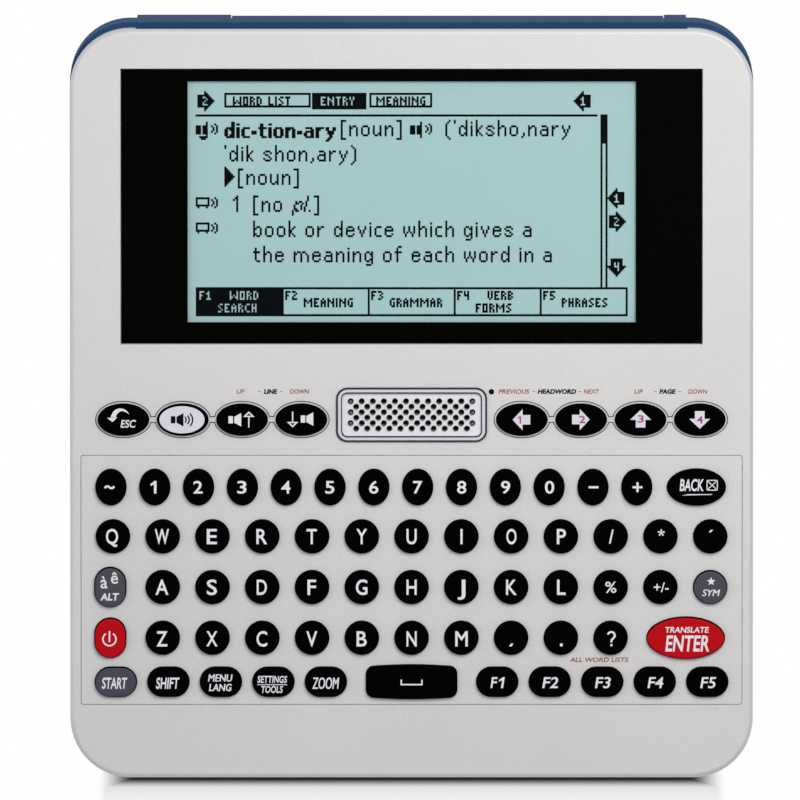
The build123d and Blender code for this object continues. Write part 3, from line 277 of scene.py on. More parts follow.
# Reflective liquid-crystal display: grey-green, even and without gloss of its own.
DISPLAY = Moulded("reflective_display_film", "#A3C4C6", "#9FC1C3", 0.4, 0.3, 0.002, 40, specular=0.2)
DOT_INK = Moulded("switched_display_dots", "#04090B", "#030709", 0.5, 0.3, 0.001, 3, specular=0.04)
RUBBER = Moulded("moulded_rubber", "#1B1B1D", "#141416", 0.75, 0.4, 0.03, 5, specular=0.3)
STEEL = Moulded("nickel_plated_steel", "#B9B7B2", "#A5A39E", 0.28, 0.3, 0.004, 3, metallic=1.0)
CHARCOAL = Moulded("charcoal_abs", "#18181A", "#141415", 0.5, 0.4, 0.01, 8, specular=0.35)
STOP = Moulded("grey_speaker_ring", "#6E6E72", "#5C5C60", 0.6, 0.3, 0.004, 1, specular=0.2)
FOAM = Moulded("closed_cell_foam", "#202022", "#17171A", 0.9, 0.25, 0.05, 2, specular=0.1)
FILM = Moulded("amber_polyimide_film", "#9A5B22", "#8A4E1B", 0.3, 0.5, 0.003, 6)
BOARD = Moulded("green_solder_mask", "#17452C", "#123B25", 0.35, 0.6, 0.01, 4)
SILICONE = Moulded("grey_silicone_sheet", "#B9BBBB", "#B0B2B3", 0.6, 0.3, 0.01, 8)
LIGHT_GUIDE = Moulded("opal_light_guide", "#E4E8E4", "#DDE1DD", 0.4, 0.5, 0.003, 15)


# ---- The tilted face -----------------------------------------------------------------------------
@dataclass(frozen=True)
class Face:
    """The plane of the device's face: x runs to the right, v up the face, and height out of it."""

    origin: Vector
    up: Vector
    normal: Vector

    @classmethod
    def of_frame(cls, frame: dict) -> Face:
        """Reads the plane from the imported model.


        Returns:
            The plane through the keypad panel's top, with v = 0 at the casing's bottom edge.
        """
        press = next(j for j in frame["joints"] if j["name"] == "space_key_press")
        normal = -Vector(press["axis"]).normalized()
        up = normal.cross(Vector((1, 0, 0)))
        panel = [v.co.dot(normal) for v in frame["nodes"]["keypad_panel"].data.vertices]
        case = [v.co.dot(up) for v in frame["nodes"]["front_case"].data.vertices]
        return cls(normal * max(panel) + up * min(case), up, normal)

    def matrix(self, x: float, v: float, height: float = 0.0) -> Matrix:
        """Gives the matrix that stands a drawing on the face.

        Args:
            x: place to the right, in millimetres.
            v: place up the face, in millimetres.
            height: height over the face, in millimetres.

        Returns:
            The matrix from drawing axes to the row frame, in metres.
        """
        across = Vector((1, 0, 0))
        spot = self.origin + across * x * MM + self.up * v * MM + self.normal * height * MM
        turn = Matrix((across, self.up, self.normal)).transposed().to_4x4()
        return Matrix.Translation(spot) @ turn

    def span(self, node: bpy.types.Object) -> tuple[float, float, float, float]:
        """Measures a node along the face.

        Args:
            node: a CAD node's object.

        Returns:
            The x and v of its middle, then its width and its height, in millimetres.
        """
        places = [vertex.co for vertex in node.data.vertices]
        xs = [p.x / MM for p in places]
        vs = [(p - self.origin).dot(self.up) / MM for p in places]
        return (min(xs) + max(xs)) / 2, (min(vs) + max(vs)) / 2, max(xs) - min(xs), max(vs) - min(vs)


# ---- Modelling helpers ---------------------------------------------------------------------------
def activate(obj: bpy.types.Object) -> None:
    """Selects one object alone and makes it the active one."""
    bpy.ops.object.select_all(action="DESELECT")
    obj.select_set(True)
    bpy.context.view_layer.objects.active = obj


def edit(obj: bpy.types.Object) -> None:
    """Opens an object in edit mode with all of it selected."""
    activate(obj)
    bpy.ops.object.mode_set(mode="EDIT")
    bpy.ops.mesh.select_all(action="SELECT")


def placed(name: str, data: bpy.types.ID) -> bpy.types.Object:
    """Puts a mesh, a curve, a lamp or a camera in the scene under a name."""
    obj = bpy.data.objects.new(name, data)
    bpy.context.scene.collection.objects.link(obj)
    return obj


def started(add: Callable, **settings: object) -> bpy.types.Object:
    """Adds a basic mesh at the origin and opens it in edit mode."""
    bpy.ops.object.select_all(action="DESELECT")
    add(location=(0, 0, 0), **settings)
    obj = bpy.context.view_layer.objects.active
    edit(obj)
    return obj


def solid_curve(name: str, loops: list[list[tuple]], closed: bool, **settings: object) -> bpy.types.Object:
    """Makes a mesh from a curve that runs straight from point to point.

    Args:
        name: the piece's name.
        loops: the points of each run.
        closed: whether a run ends where it began.
        settings: the curve's own settings.

    Returns:
        The mesh object.
    """
    curve = bpy.data.curves.new(name, "CURVE")
    for key, value in settings.items():
        setattr(curve, key, value)
    for loop in loops:
        spline = curve.splines.new("POLY")
        spline.points.add(len(loop) - 1)
        for spot, point in zip(spline.points, loop):
            spot.co = (*point, 1)
        spline.use_cyclic_u = closed
    activate(placed(name, curve))
    bpy.ops.object.convert(target="MESH")
    return bpy.context.view_layer.objects.active


def side_of_zero(value: float) -> int:
    """Gives 1 or -1 for a length over or under zero, and 0 where it is as good as zero."""
    return int(value > 1e-7) - int(value < -1e-7)


def reshape(obj: bpy.types.Object, move: Callable[[Vector], Vector]) -> None:
    """Moves every corner of a mesh in edit mode to where a function puts it."""
    work = bmesh.from_edit_mesh(obj.data)
    for vertex in work.verts:
        vertex.co = move(vertex.co)
    bmesh.update_edit_mesh(obj.data)


def pick_faces(obj: bpy.types.Object, wanted: Callable[[bmesh.types.BMFace], bool]) -> None:
    """Selects the faces that pass a test, in edit mode, and nothing else.

    Args:
        obj: the object being edited.
        wanted: takes a face and says whether it is picked.
    """
    bpy.ops.mesh.select_mode(type="FACE")
    bpy.ops.mesh.select_all(action="DESELECT")
    work = bmesh.from_edit_mesh(obj.data)
    for face in work.faces:
        face.select_set(wanted(face))
    work.select_flush_mode()
    bmesh.update_edit_mesh(obj.data)


def raise_face(height: float) -> None:
    """Extrudes what is selected straight up, by a height in millimetres."""
    bpy.ops.mesh.extrude_region_move(TRANSFORM_OT_translate={"value": (0, 0, height * MM)})


def close_edit(obj: bpy.types.Object, angle: float = 40.0) -> None:
    """Leaves edit mode with outward faces and smooth shading below an angle, or none at 0."""
    bpy.ops.mesh.select_all(action="SELECT")
    bpy.ops.mesh.remove_doubles(threshold=1e-7)
    bpy.ops.mesh.normals_make_consistent(inside=False)
    bpy.ops.object.mode_set(mode="OBJECT")
    activate(obj)
    if angle:
        bpy.ops.object.shade_smooth_by_angle(angle=math.radians(angle))
    else:
        bpy.ops.object.shade_flat()


def copies(master: bpy.types.Object, places: list[Matrix]) -> list[bpy.types.Object]:
    """Copies a modelled piece to its places and removes the master.

    Args:
        master: the piece, modelled at the origin.
        places: one matrix for each copy.

    Returns:
        The copies, each with a mesh of its own.
    """
    made = []
    for place in places:
        twin = master.copy()
        twin.data = master.data.copy()
        twin.data.transform(place)
        bpy.context.scene.collection.objects.link(twin)
        made.append(twin)
    bpy.data.objects.remove(master)
    return made


def joined(parts: list[bpy.types.Object], name: str) -> bpy.types.Object:
    """Joins pieces into one with a name."""
    bpy.ops.object.select_all(action="DESELECT")
    for part in parts:
        part.select_set(True)
    bpy.context.view_layer.objects.active = parts[0]
    if len(parts) > 1:
        bpy.ops.object.join()
    whole = bpy.context.view_layer.objects.active
    whole.name = whole.data.name = name
    return whole


def dress(obj: bpy.types.Object, finish: Finish, body: str = "") -> bpy.types.Object:
    """Gives a piece its finish, and a new piece its slot and body too.

    Args:
        obj: the piece.
        finish: what it is covered with.
        body: the CAD body that it rides on, for a new piece.

    Returns:
        The piece.
    """
    obj.data.materials.clear()
    obj.data.materials.append(finish.material())
    if body:
        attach(obj, body)
    return obj


def dress_trim(obj: bpy.types.Object, finish: Finish, name: str = "") -> None:
    """Finishes a piece printed or set on the casing, and names it where a name is given."""
    obj.name = name or obj.name
    dress(obj, finish, "housing")


# ---- Flat drawings -------------------------------------------------------------------------------
class Slant(Enum):
    """Whether letters stand upright or lean."""

    UPRIGHT = 0.0
    ITALIC = 0.15
    OBLIQUE = 0.26


@dataclass(frozen=True)
class Words:
    """A line of lettering, placed from the middle of its key or caption. Lengths in millimetres.

    The weight is how far strokes are thickened, for a size of 1.
    """

    text: str
    height: float
    width: float
    x: float = 0.0
    v: float = 0.0
    slant: Slant = Slant.UPRIGHT
    weight: float = 0.014


@dataclass(frozen=True)
class Shape:
    """Flat outlines, where an outline inside another is a hole. Points in millimetres."""

    loops: tuple[Loop, ...]
    x: float = 0.0
    v: float = 0.0


Mark = Words | Shape
# Printing is drawn this thick and this far off what it is printed on, in millimetres.
INK_DEPTH = 0.02
INK_GAP = 0.003
# The font's M has a fine notch that folds over when it is thickened by more than this, so words
# with an M are printed twice, side by side. The step keeps the two prints' faces apart, as a share
# of their thickness.
FOLD_FREE_WEIGHT = 0.001
STRIKE_STEP = 0.1


def raw_text(text: str, weight: float, slant: float) -> bpy.types.Object:
    """Makes a mesh of some text at size 1 with its baseline's start at the origin.

    Args:
        text: the characters.
        weight: how far strokes are thickened, for a size of 1.
        slant: shear of the letters.

    Returns:
        The mesh object.
    """
    bpy.ops.object.select_all(action="DESELECT")
    bpy.ops.object.text_add(location=(0, 0, 0))
    letters = bpy.context.view_layer.objects.active
    letters.data.body = text
    letters.data.offset = weight
    letters.data.shear = slant
    letters.data.extrude = 0.5
    letters.data.resolution_u = 4
    bpy.ops.object.convert(target="MESH")
    return bpy.context.view_layer.objects.active


@functools.cache
def cap_span(weight: float) -> Point:
    """Measures the foot and the top of a capital at size 1, thickened by a weight."""
    sample = raw_text("H", weight, 0.0)
    heights = [vertex.co.y for vertex in sample.data.vertices]
    bpy.data.objects.remove(sample)
    return min(heights), max(heights)


def lay_flat(obj: bpy.types.Object, placing: Matrix) -> bpy.types.Object:
    """Puts a drawing of thickness 1 where it goes and closes its seams.

    Args:
        obj: the drawing's mesh object.
        placing: the matrix from the drawing, with its back at 0, to the row frame.

    Returns:
        The piece.
    """
    obj.data.transform(placing @ Matrix.Translation((0, 0, 0.5)))
    edit(obj)
    bpy.ops.mesh.remove_doubles(threshold=1e-8)
    bpy.ops.object.mode_set(mode="OBJECT")
    return obj


def draw_words(words: Words, place: Matrix) -> bpy.types.Object:
    """Draws a line of lettering as a thin solid.

    Args:
        words: what it says and how.
        place: matrix of the middle it is placed from.

    Returns:
        The piece.
    """
    folds = "M" in words.text
    weight = FOLD_FREE_WEIGHT if folds else words.weight
    letters = raw_text(words.text, weight, words.slant.value)
    if folds:
        strikes = [Matrix.Translation((side * words.weight, 0, side * STRIKE_STEP)) for side in (-1, 1)]
        letters = joined(copies(letters, strikes), "lettering")
    xs = [v.co.x for v in letters.data.vertices]
    foot, top = cap_span(weight)
    size = words.height / (top - foot)
    wide = words.width / (max(xs) - min(xs))
    middle = Matrix.Translation((-(max(xs) + min(xs)) / 2, 0, 0))
    shift = Matrix.Translation((words.x * MM, (words.v - words.height / 2 - foot * size) * MM, 0))
    scale = Matrix.Diagonal((wide * MM, size * MM, INK_DEPTH * MM, 1))
    return lay_flat(letters, place @ shift @ scale @ middle)


def draw_shape(shape: Shape, place: Matrix, depth: float = INK_DEPTH) -> bpy.types.Object:
    """Draws flat outlines as a thin solid.

    Args:
        shape: the outlines.
        place: matrix of the middle they are placed from.
        depth: thickness in millimetres.

    Returns:
        The piece.
    """
    loops = [[(x, y, 0) for x, y in loop] for loop in shape.loops]
    flat = solid_curve("outline", loops, True, dimensions="2D", fill_mode="BOTH", extrude=0.5)
    shift = Matrix.Translation((shape.x * MM, shape.v * MM, 0))
    return lay_flat(flat, place @ shift @ Matrix.Diagonal((MM, MM, depth * MM, 1)))


def draw(mark: Mark, place: Matrix) -> bpy.types.Object:
    """Draws lettering or a sign at a place."""
    return draw_words(mark, place) if isinstance(mark, Words) else draw_shape(mark, place)


def arc(radius: float, start: float, end: float, steps: int = 12, middle: Point = (0, 0)) -> list[Point]:
    """Points along an arc, from one angle in degrees to another."""
    turns = [math.radians(start + (end - start) * i / steps) for i in range(steps + 1)]
    return [(middle[0] + radius * math.cos(t), middle[1] + radius * math.sin(t)) for t in turns]


def stroke(points: list[Point], width: float) -> Loop:
    """Outlines a line of some width.

    Args:
        points: the line's points, in millimetres.
        width: the line's width.

    Returns:
        The outline's points.
    """
    left: list[Point] = []
    right: list[Point] = []
    for i, (x, y) in enumerate(points):
        ahead = points[min(i + 1, len(points) - 1)]
        behind = points[max(i - 1, 0)]
        into = Vector((x - behind[0], y - behind[1])) if i else Vector((ahead[0] - x, ahead[1] - y))
        onward = Vector((ahead[0] - x, ahead[1] - y)) if i < len(points) - 1 else into
        into.normalize()
        onward.normalize()
        along = (into + onward).normalized()
        side = Vector((-along.y, along.x))
        reach = width / 2 / max(0.4, side.dot(Vector((-into.y, into.x))))
        left.append((x + side.x * reach, y + side.y * reach))
        right.append((x - side.x * reach, y - side.y * reach))
    return tuple(left + right[::-1])


def box_loop(x: float, y: float, width: float, height: float) -> Loop:
    """Corners of an upright rectangle about a middle."""
    a, b = width / 2, height / 2
    return ((x - a, y - b), (x + a, y - b), (x + a, y + b), (x - a, y + b))


def oval_loop(width: float, height: float, steps: int = 56) -> Loop:
    """Points round an ellipse."""
    turns = [2 * math.pi * i / steps for i in range(steps)]
    return tuple((width / 2 * math.cos(t), height / 2 * math.sin(t)) for t in turns)


def round_box_loop(width: float, height: float, corner: float, steps: int = 8) -> Loop:
    """Points round a rectangle with rounded corners."""
    points: list[Point] = []
    for start, sx, sy in ((0, 1, 1), (90, -1, 1), (180, -1, -1), (270, 1, -1)):
        middle = (sx * (width / 2 - corner), sy * (height / 2 - corner))
        points += arc(corner, start, start + 90, steps, middle)
    return tuple(points)


def chain_loop(width: float, height: float, pitch: float, count: int, bridge: float) -> Loop:
    """Points round a row of ellipses joined by bridges.

    Args:
        width: width of each ellipse.
        height: height of each ellipse.
        pitch: distance between their middles.
        count: how many there are.
        bridge: height of the bridges.

    Returns:
        The outline, from the left end along the top and back along the bottom.
    """
    meet = math.degrees(math.asin(bridge / height))
    top: list[Point] = []
    for i in range(count):
        middle = (i - (count - 1) / 2) * pitch
        start = 180 if i == 0 else 180 - meet
        end = 0 if i == count - 1 else meet
        unit = arc(1.0, start, end, 28)
        top += [(middle + x * width / 2, y * height / 2) for x, y in unit]
    return tuple(top + [(x, -y) for x, y in top[-2:0:-1]])


def speaker_sign(box: float, horn: float, v: float = 0.0) -> list[Shape]:
    """A loudspeaker: its box about one x, and the horn that opens to the right from another."""
    cone = ((horn, v - 0.62), (horn + 1.45, v - 1.4), (horn + 1.45, v + 1.4), (horn, v + 0.62))
    return [Shape((box_loop(box, v, 0.95, 1.5),)), Shape((cone,))]


def thin_arrow(x: float, tip: float, tail: float) -> list[Shape]:
    """An arrow with an open head, from its tail to its tip, along v."""
    way = 1 if tip > tail else -1
    neck = tip - way * 1.15
    outer = ((x - 1.2, neck), (x + 1.2, neck), (x, tip))
    inner = ((x - 0.55, neck + way * 0.24), (x + 0.55, neck + way * 0.24), (x, tip - way * 0.4))
    return [Shape((outer, inner)), Shape((box_loop(x, (neck + tail) / 2, 0.26, abs(neck - tail)),))]


def block_arrow(turn: int) -> Loop:
    """A broad arrow that points right, turned by quarter turns."""
    points = [(-1.8, -1.0), (-0.2, -1.0), (-0.2, -2.2), (1.88, 0), (-0.2, 2.2), (-0.2, 1.0), (-1.8, 1.0)]
    for _ in range(turn):
        points = [(-y, x) for x, y in points]
    return tuple(points)


# ---- Keys ----------------------------------------------------------------------------------------
class CapOutline(Enum):
    """The outlines that key caps come in."""

    OVAL = "oval"
    STADIUM = "stadium"
    BARREL = "barrel"


KEY_SLOTS = {BLACK_KEY: "black_key", GREY_KEY: "grey_key", RED_KEY: "red_key"}
# Height of a print over its cap, and of a second print over the first, in millimetres.
FIRST_PRINT = 0.002
SECOND_PRINT = 2 * FIRST_PRINT + INK_DEPTH
# Legends sit this much further from the middle of the face than their keys.
LEGEND_SPREAD = 1.003
# A coloured cap is black where its surface turns from the face so far that the cosine is under this: its
# black walls, and painted shade on the lower part of its rounded edge.
WALL_AND_SHADE_COSINE = 0.6


@dataclass
class KeyCaps:
    """The caps that one CAD node stands for, with their legends. Lengths in millimetres."""

    node: str
    outline: CapOutline
    width: float
    height: float
    legends: list[list[Mark]]
    finish: Moulded = BLACK_KEY
    extras: list[tuple[Mark, Moulded, float]] = field(default_factory=list)
    raised: float = 0.08
    rise: float = 1.3
    flange: float = 0.4
    flange_depth: float = 2.0
    flange_thickness: float = 0.6
    edge: float = 0.42
    crown_border: float = 0.4
    barrel_corner: float = 1.9
    barrel_bow: float = 0.45
    barrel_long_side: float = 6.0

    def barrel(self, wide: float, tall: float) -> bpy.types.Object:
        """Models a rectangle with round corners whose two long sides bow out, by its half sizes."""
        cap = started(bpy.ops.mesh.primitive_plane_add, size=1)
        bpy.ops.transform.resize(value=(2 * wide * MM, 2 * tall * MM, 1))
        bpy.ops.mesh.select_mode(type="VERT")
        bpy.ops.mesh.select_all(action="SELECT")
        bpy.ops.mesh.bevel(offset=self.barrel_corner * MM, segments=6, affect="VERTICES")
        work = bmesh.from_edit_mesh(cap.data)
        for side in work.edges:
            side.select_set(side.calc_length() > self.barrel_long_side * MM)
        bmesh.update_edit_mesh(cap.data)
        bpy.ops.mesh.subdivide(number_cuts=14)
        bow = self.barrel_bow * MM
        up = Vector((0, 1, 0))
        reshape(cap, lambda co: co + up * math.copysign(bow * (1 - (co.x / (wide * MM)) ** 2), co.y))
        return cap

    def ground(self) -> bpy.types.Object:
        """Models the flange's outline as one flat face."""
        wide, tall = self.width / 2 + self.flange, self.height / 2 + self.flange
        if self.outline is CapOutline.BARREL:
            return self.barrel(wide, tall)
        cap = started(bpy.ops.mesh.primitive_circle_add, vertices=56, radius=1, fill_type="NGON")
        if self.outline is CapOutline.OVAL:
            bpy.ops.transform.resize(value=(wide * MM, tall * MM, 1))
            return cap
        radius = min(wide, tall)
        bpy.ops.transform.resize(value=(radius * MM, radius * MM, 1))
        spread = Vector(((wide - radius) * MM, (tall - radius) * MM, 0))
        reshape(cap, lambda co: co + spread * side_of_zero(co.x if spread.x else co.y))
        return cap

    def cap(self) -> bpy.types.Object:
        """Models one cap: flange, wall, rounded edge and a faint crown."""
        cap = self.ground()
        bpy.ops.mesh.select_mode(type="FACE")
        bpy.ops.mesh.select_all(action="SELECT")
        bpy.ops.transform.translate(value=(0, 0, -self.flange_depth * MM))
        raise_face(self.flange_thickness)
        bpy.ops.mesh.inset(thickness=self.flange * MM)
        raise_face(self.rise + self.flange_depth - self.flange_thickness)
        bpy.ops.mesh.bevel(offset=self.edge * MM, segments=4, profile=0.5, affect="EDGES")
        pick_faces(cap, lambda f: f.normal.z > 0.99 and f.calc_center_median().z > (self.rise - 0.01) * MM)
        bpy.ops.mesh.inset(thickness=self.crown_border * MM)
        close_edit(cap)
        return cap

    def build(self, face: Face, plain: bpy.types.Object) -> None:
        """Builds the caps where the node has them, and prints their legends.

        Args:
            face: the device's face.
            plain: the CAD node's object.
        """
        x, v, width, _ = face.span(plain)
        count, slot = len(self.legends), KEY_SLOTS[self.finish]
        first = x - width / 2 + self.flange + self.width / 2
        pitch = (width - 2 * self.flange - self.width) / max(1, count - 1)
        columns = [first + i * pitch for i in range(count)]
        caps = joined(copies(self.cap(), [face.matrix(x, v) for x in columns]), f"{self.node}_caps")
        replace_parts(dress(caps, self.finish, self.node), self.node)
        # Grey and red caps get black walls, and painted shade on the lower part of their rounded edge.
        if self.finish is not BLACK_KEY:
            caps.data.materials.append(BLACK_KEY.material())
            for side in caps.data.polygons:
                side.material_index = int(side.normal.dot(face.normal) < WALL_AND_SHADE_COSINE)
        spots = [(x * LEGEND_SPREAD, v + self.raised) for x in columns]
        ink = [
            draw(mark, face.matrix(*spot, self.rise + FIRST_PRINT))
            for spot, marks in zip(spots, self.legends)
            for mark in marks
        ]
        if ink:
            dress(joined(ink, f"{self.node}_legends"), WHITE_INK, self.node)
        for number, (mark, finish, lift) in enumerate(self.extras, 1):
            piece = draw(mark, face.matrix(*spots[0], self.rise + lift))
            piece.name = f"{self.node}_print_{number}"
            dress(piece, finish, self.node)


# Widths of the capitals on the keys, in millimetres, then of those that aren't listed.
LETTER_WIDTHS = {"I": 0.45, "M": 2.6, "W": 2.95, "Q": 2.55, "G": 2.4, "A": 2.7, "J": 1.65, "L": 1.8, "Z": 2.3}
LETTER_WIDTHS |= {"F": 1.8, "P": 1.9, "R": 2.25, "Y": 2.25, "K": 2.25, "X": 2.35, "C": 2.25, "V": 2.3}
USUAL_WIDTH = 2.12
LETTER_HEIGHT = 3.2


def letters(text: str) -> list[list[Mark]]:
    """The legends of a row of letter keys."""
    return [[Words(c, LETTER_HEIGHT, LETTER_WIDTHS.get(c, USUAL_WIDTH))] for c in text]


def one_loop(size: float, lean: float = 0.0) -> Loop:
    """Points round a flagged digit one, 2.64 mm tall at size 1, that leans as far as asked."""
    flag = ((0.44, -1.32), (0.44, 1.32), (0.04, 1.32), (-0.78, 0.7), (-0.78, 0.26))
    flag += ((-0.08, 0.6), (-0.08, -1.32))
    return tuple((size * (x + lean * y), size * y) for x, y in flag)


def label(text: str, height: float, width: float, v: float = 0.0, x: float = 0.0) -> Words:
    """A slanted heavy word on a function key."""
    return Words(text, height, width, x, v, Slant.ITALIC, 0.022)


def banks() -> list[KeyCaps]:
    """The rows of digits and letters."""
    minus = Shape((box_loop(0, 0, 2.05, 0.44),))
    plus = Shape((box_loop(0, 0, 0.46, 2.05),))
    wave = [(-1.0, -0.18), (-0.7, 0.14), (-0.35, 0.2), (0.3, -0.2), (0.65, -0.16), (1.0, 0.18)]
    tilde = Shape((stroke(wave, 0.44),), -0.1)
    acute = Shape((((-0.5, 0.9), (-0.1, 1.4), (0.4, 1.4), (-0.05, 0.9)),))
    comma = Shape((((-0.5, -1.6), (-0.15, -1.0), (0.42, -1.0), (0.0, -1.6)),))
    dot = Shape((box_loop(0, -1.28, 0.58, 0.58),))
    tips = [arc(0.72, turn, turn, 1)[0] for turn in (90, 162, 234, 306, 18)]
    star = [Shape((stroke([(0, 0), tip], 0.3),), 0, 0.8) for tip in tips]
    hook = [*arc(0.72, 165, -50, 16, (0, 0.72)), (0.04, -0.3), (0.04, -0.75)]
    query = [Shape((stroke(hook, 0.4),)), Shape((box_loop(0.04, -1.3, 0.44, 0.44),))]
    percent = Words("%", 2.3, 2.35, -0.1, weight=0.008)
    either = Words("+/-", 2.0, 3.1, weight=0.01)
    digits = [[Shape((one_loop(1.0),), 0.08)], *([Words(c, 2.62, 1.93)] for c in "234567890")]
    slash = Words("/", 2.9, 1.0, weight=0.02)
    round_cap = (CapOutline.OVAL, 7.0, 7.0)
    return [
        KeyCaps("number_row_keys", CapOutline.OVAL, 6.3, 7.5, [[tilde], *digits, [minus], [minus, plus]]),
        KeyCaps("top_letter_keys", *round_cap, [*letters("QWERTYUIOP"), [slash], star, [acute]]),
        KeyCaps("home_letter_keys", *round_cap, [*letters("ASDFGHJKL"), [percent], [either]]),
        KeyCaps("lower_letter_keys", *round_cap, [*letters("ZXCVBNM"), [comma], [dot], query], raised=-0.1),
    ]


def side_keys() -> list[KeyCaps]:
    """The keys at the sides of the banks: back, alt, symbol, power and enter."""
    oval, stadium = CapOutline.OVAL, CapOutline.STADIUM
    cross = Shape((round_box_loop(2.35, 2.25, 0.35, 4), round_box_loop(1.95, 1.85, 0.2, 4)), 3.1, 0.42)
    bars = [Shape((stroke([(-0.85, a), (0.85, -a)], 0.2),), 3.1, 0.42) for a in (0.8, -0.8)]
    rule = Shape((((-3.2, -1.72), (3.1, -1.58), (3.1, -1.44), (-1.9, -1.44)),))
    ring = stroke(arc(1.36, 122, 418, 28, (0, -0.25)), 0.31)
    power = [Shape((ring,)), Shape((box_loop(0, 0.3, 0.33, 2.3),))]
    tips = [arc(0.4 if i % 2 else 0.95, 90 + 36 * i, 90 + 36 * i, 1)[0] for i in range(10)]
    symbol = [Words("SYM", 1.35, 3.8, 0.0, -1.15, Slant.OBLIQUE, 0.02), Shape((tuple(tips),), 0, 1.2)]
    accents = (("à", 2.65, 1.45, -1.12, 1.1), ("ê", 2.5, 1.5, 1.05, 2.0))
    alternate = [Words("ALT", 1.55, 3.95, 0.05, -2.0, Slant.ITALIC, 0.035)]
    alternate += [Words(*accent, weight=0.012) for accent in accents]
    enter = [label("TRANSLATE", 1.2, 9.1, 1.7, 0.15), label("ENTER", 3.35, 9.1, -1.15, 0.15)]
    return [
        KeyCaps("back_key", oval, 12.15, 7.65, [[label("BACK", 2.5, 5.0, 0.45, -1.15), cross, *bars, rule]]),
        KeyCaps("alternate_key", stadium, 6.5, 8.35, [alternate], GREY_KEY),
        KeyCaps("symbol_key", oval, 7.0, 7.0, [symbol], GREY_KEY),
        KeyCaps("power_key", stadium, 6.5, 8.35, [power], RED_KEY),
        KeyCaps("enter_key", oval, 16.2, 8.75, [enter], RED_KEY),
    ]


def bottom_row() -> list[KeyCaps]:
    """Start to zoom, the space key and the five function keys."""
    size = (CapOutline.STADIUM, 8.65, 6.2)
    rule = Shape((box_loop(-0.15, -0.3, 6.2, 0.16),))
    bracket = Shape((stroke([(-2.15, 0.5), (-2.15, -0.55), (2.15, -0.55), (2.15, 0.5)], 0.3),))
    settings = [label("SETTINGS", 1.45, 6.2, 0.8, -0.15), label("TOOLS", 1.45, 4.5, -1.3, -0.2)]
    words = {
        "shift_key": [label("SHIFT", 2.35, 4.9)],
        "menu_key": [label("MENU", 1.5, 5.1, 1.1), label("LANG", 1.5, 4.75, -0.9)],
        "settings_key": [*settings, rule],
        "zoom_key": [label("ZOOM", 2.35, 5.6)],
    }
    words |= {f"f{i}_key": [Words(f"F{i}", 2.3, 3.3, 0.0, 0.12, Slant.ITALIC)] for i in range(2, 6)}
    one = Shape((one_loop(0.87, Slant.ITALIC.value),), 0.95, 0.12)
    words["f1_key"] = [Words("F", 2.3, 1.5, -0.72, 0.12, Slant.ITALIC), one]
    words["start_key"] = [label("START", 2.35, 5.3, 0.0, -0.1)]
    keys = [KeyCaps(node, *size, [marks], raised=-0.18) for node, marks in words.items()]
    keys[-1].finish = GREY_KEY
    return [*keys, KeyCaps("space_key", CapOutline.BARREL, 18.85, 6.25, [[bracket]])]


def oval_row() -> list[KeyCaps]:
    """The eight keys in the silver chains."""
    size = (CapOutline.OVAL, 10.55, 6.6)
    bow = [(-2.5, 0.6), (-2.0, 1.6), (-1.4, 2.15), (-0.55, 2.4), (0.4, 2.2), (1.0, 1.75), (1.45, 1.1)]
    bow += [(0.85, 1.5), (0.25, 1.78), (-0.3, 1.8), (-0.85, 1.5), (-1.25, 1.0), (-1.45, 0.5)]
    head = ((-3.2, 0.4), (-1.05, 0.5), (-2.1, -0.5))
    escape = [Shape((tuple(bow),)), Shape((head,)), Words("ESC", 1.6, 3.2, 1.2, -0.85, Slant.ITALIC, 0.02)]
    rings = ((0.8, 0.05), (1.25, 0.25), (1.8, 0.4))
    waves = [Shape((stroke(arc(r, -46, 46, 10, (x, 0)), 0.3),)) for r, x in rings]
    voice = [(Shape((oval_loop(9.4, 5.7),)), LILAC_INK, FIRST_PRINT)]
    voice += [(mark, BLACK_INK_AND_SHADE, SECOND_PRINT) for mark in [*speaker_sign(-1.85, -1.15), *waves]]
    keys = [
        KeyCaps("escape_key", *size, [escape]),
        KeyCaps("speak_key", *size, [[]], extras=voice),
        KeyCaps("volume_up_key", *size, [[*speaker_sign(-2.25, -1.5), *thin_arrow(1.52, 1.75, -1.6)]]),
        KeyCaps("volume_down_key", *size, [[*speaker_sign(0.4, 1.1, 0.15), *thin_arrow(-1.75, -1.6, 1.7)]]),
    ]
    arrows = (
        ("left_arrow_key", 2, -0.11, 0.0, Shape((one_loop(0.59),), -0.5)),
        ("right_arrow_key", 0, -0.2, 0.05, Words("2", 1.55, 1.3, 0.12, 0.05, weight=0.02)),
        ("up_arrow_key", 1, -0.12, 0.18, Words("3", 1.55, 1.3, -0.1, 0.18, weight=0.02)),
        ("down_arrow_key", 3, -0.2, 0.0, Words("4", 1.55, 1.3, -0.17, 0.0, weight=0.02)),
    )
    for node, turn, x, v, mark in arrows:
        arrow = Shape((block_arrow(turn),), x, v)
        prints = [(arrow, LILAC_INK, FIRST_PRINT), (mark, MAGENTA_INK, SECOND_PRINT)]
        keys.append(KeyCaps(node, *size, [[]], extras=prints))
    return keys


@dataclass
class Keyboard:
    """All the keys: four banks of alphanumeric keys and the keys round them."""

    face: Face
    nodes: dict[str, bpy.types.Object]

    def build(self) -> None:
        """Builds every key on its CAD node's place."""
        for key in [*banks(), *side_keys(), *bottom_row(), *oval_row()]:
            key.build(self.face, self.nodes[key.node])
            LOG.info("key %s", key.node)


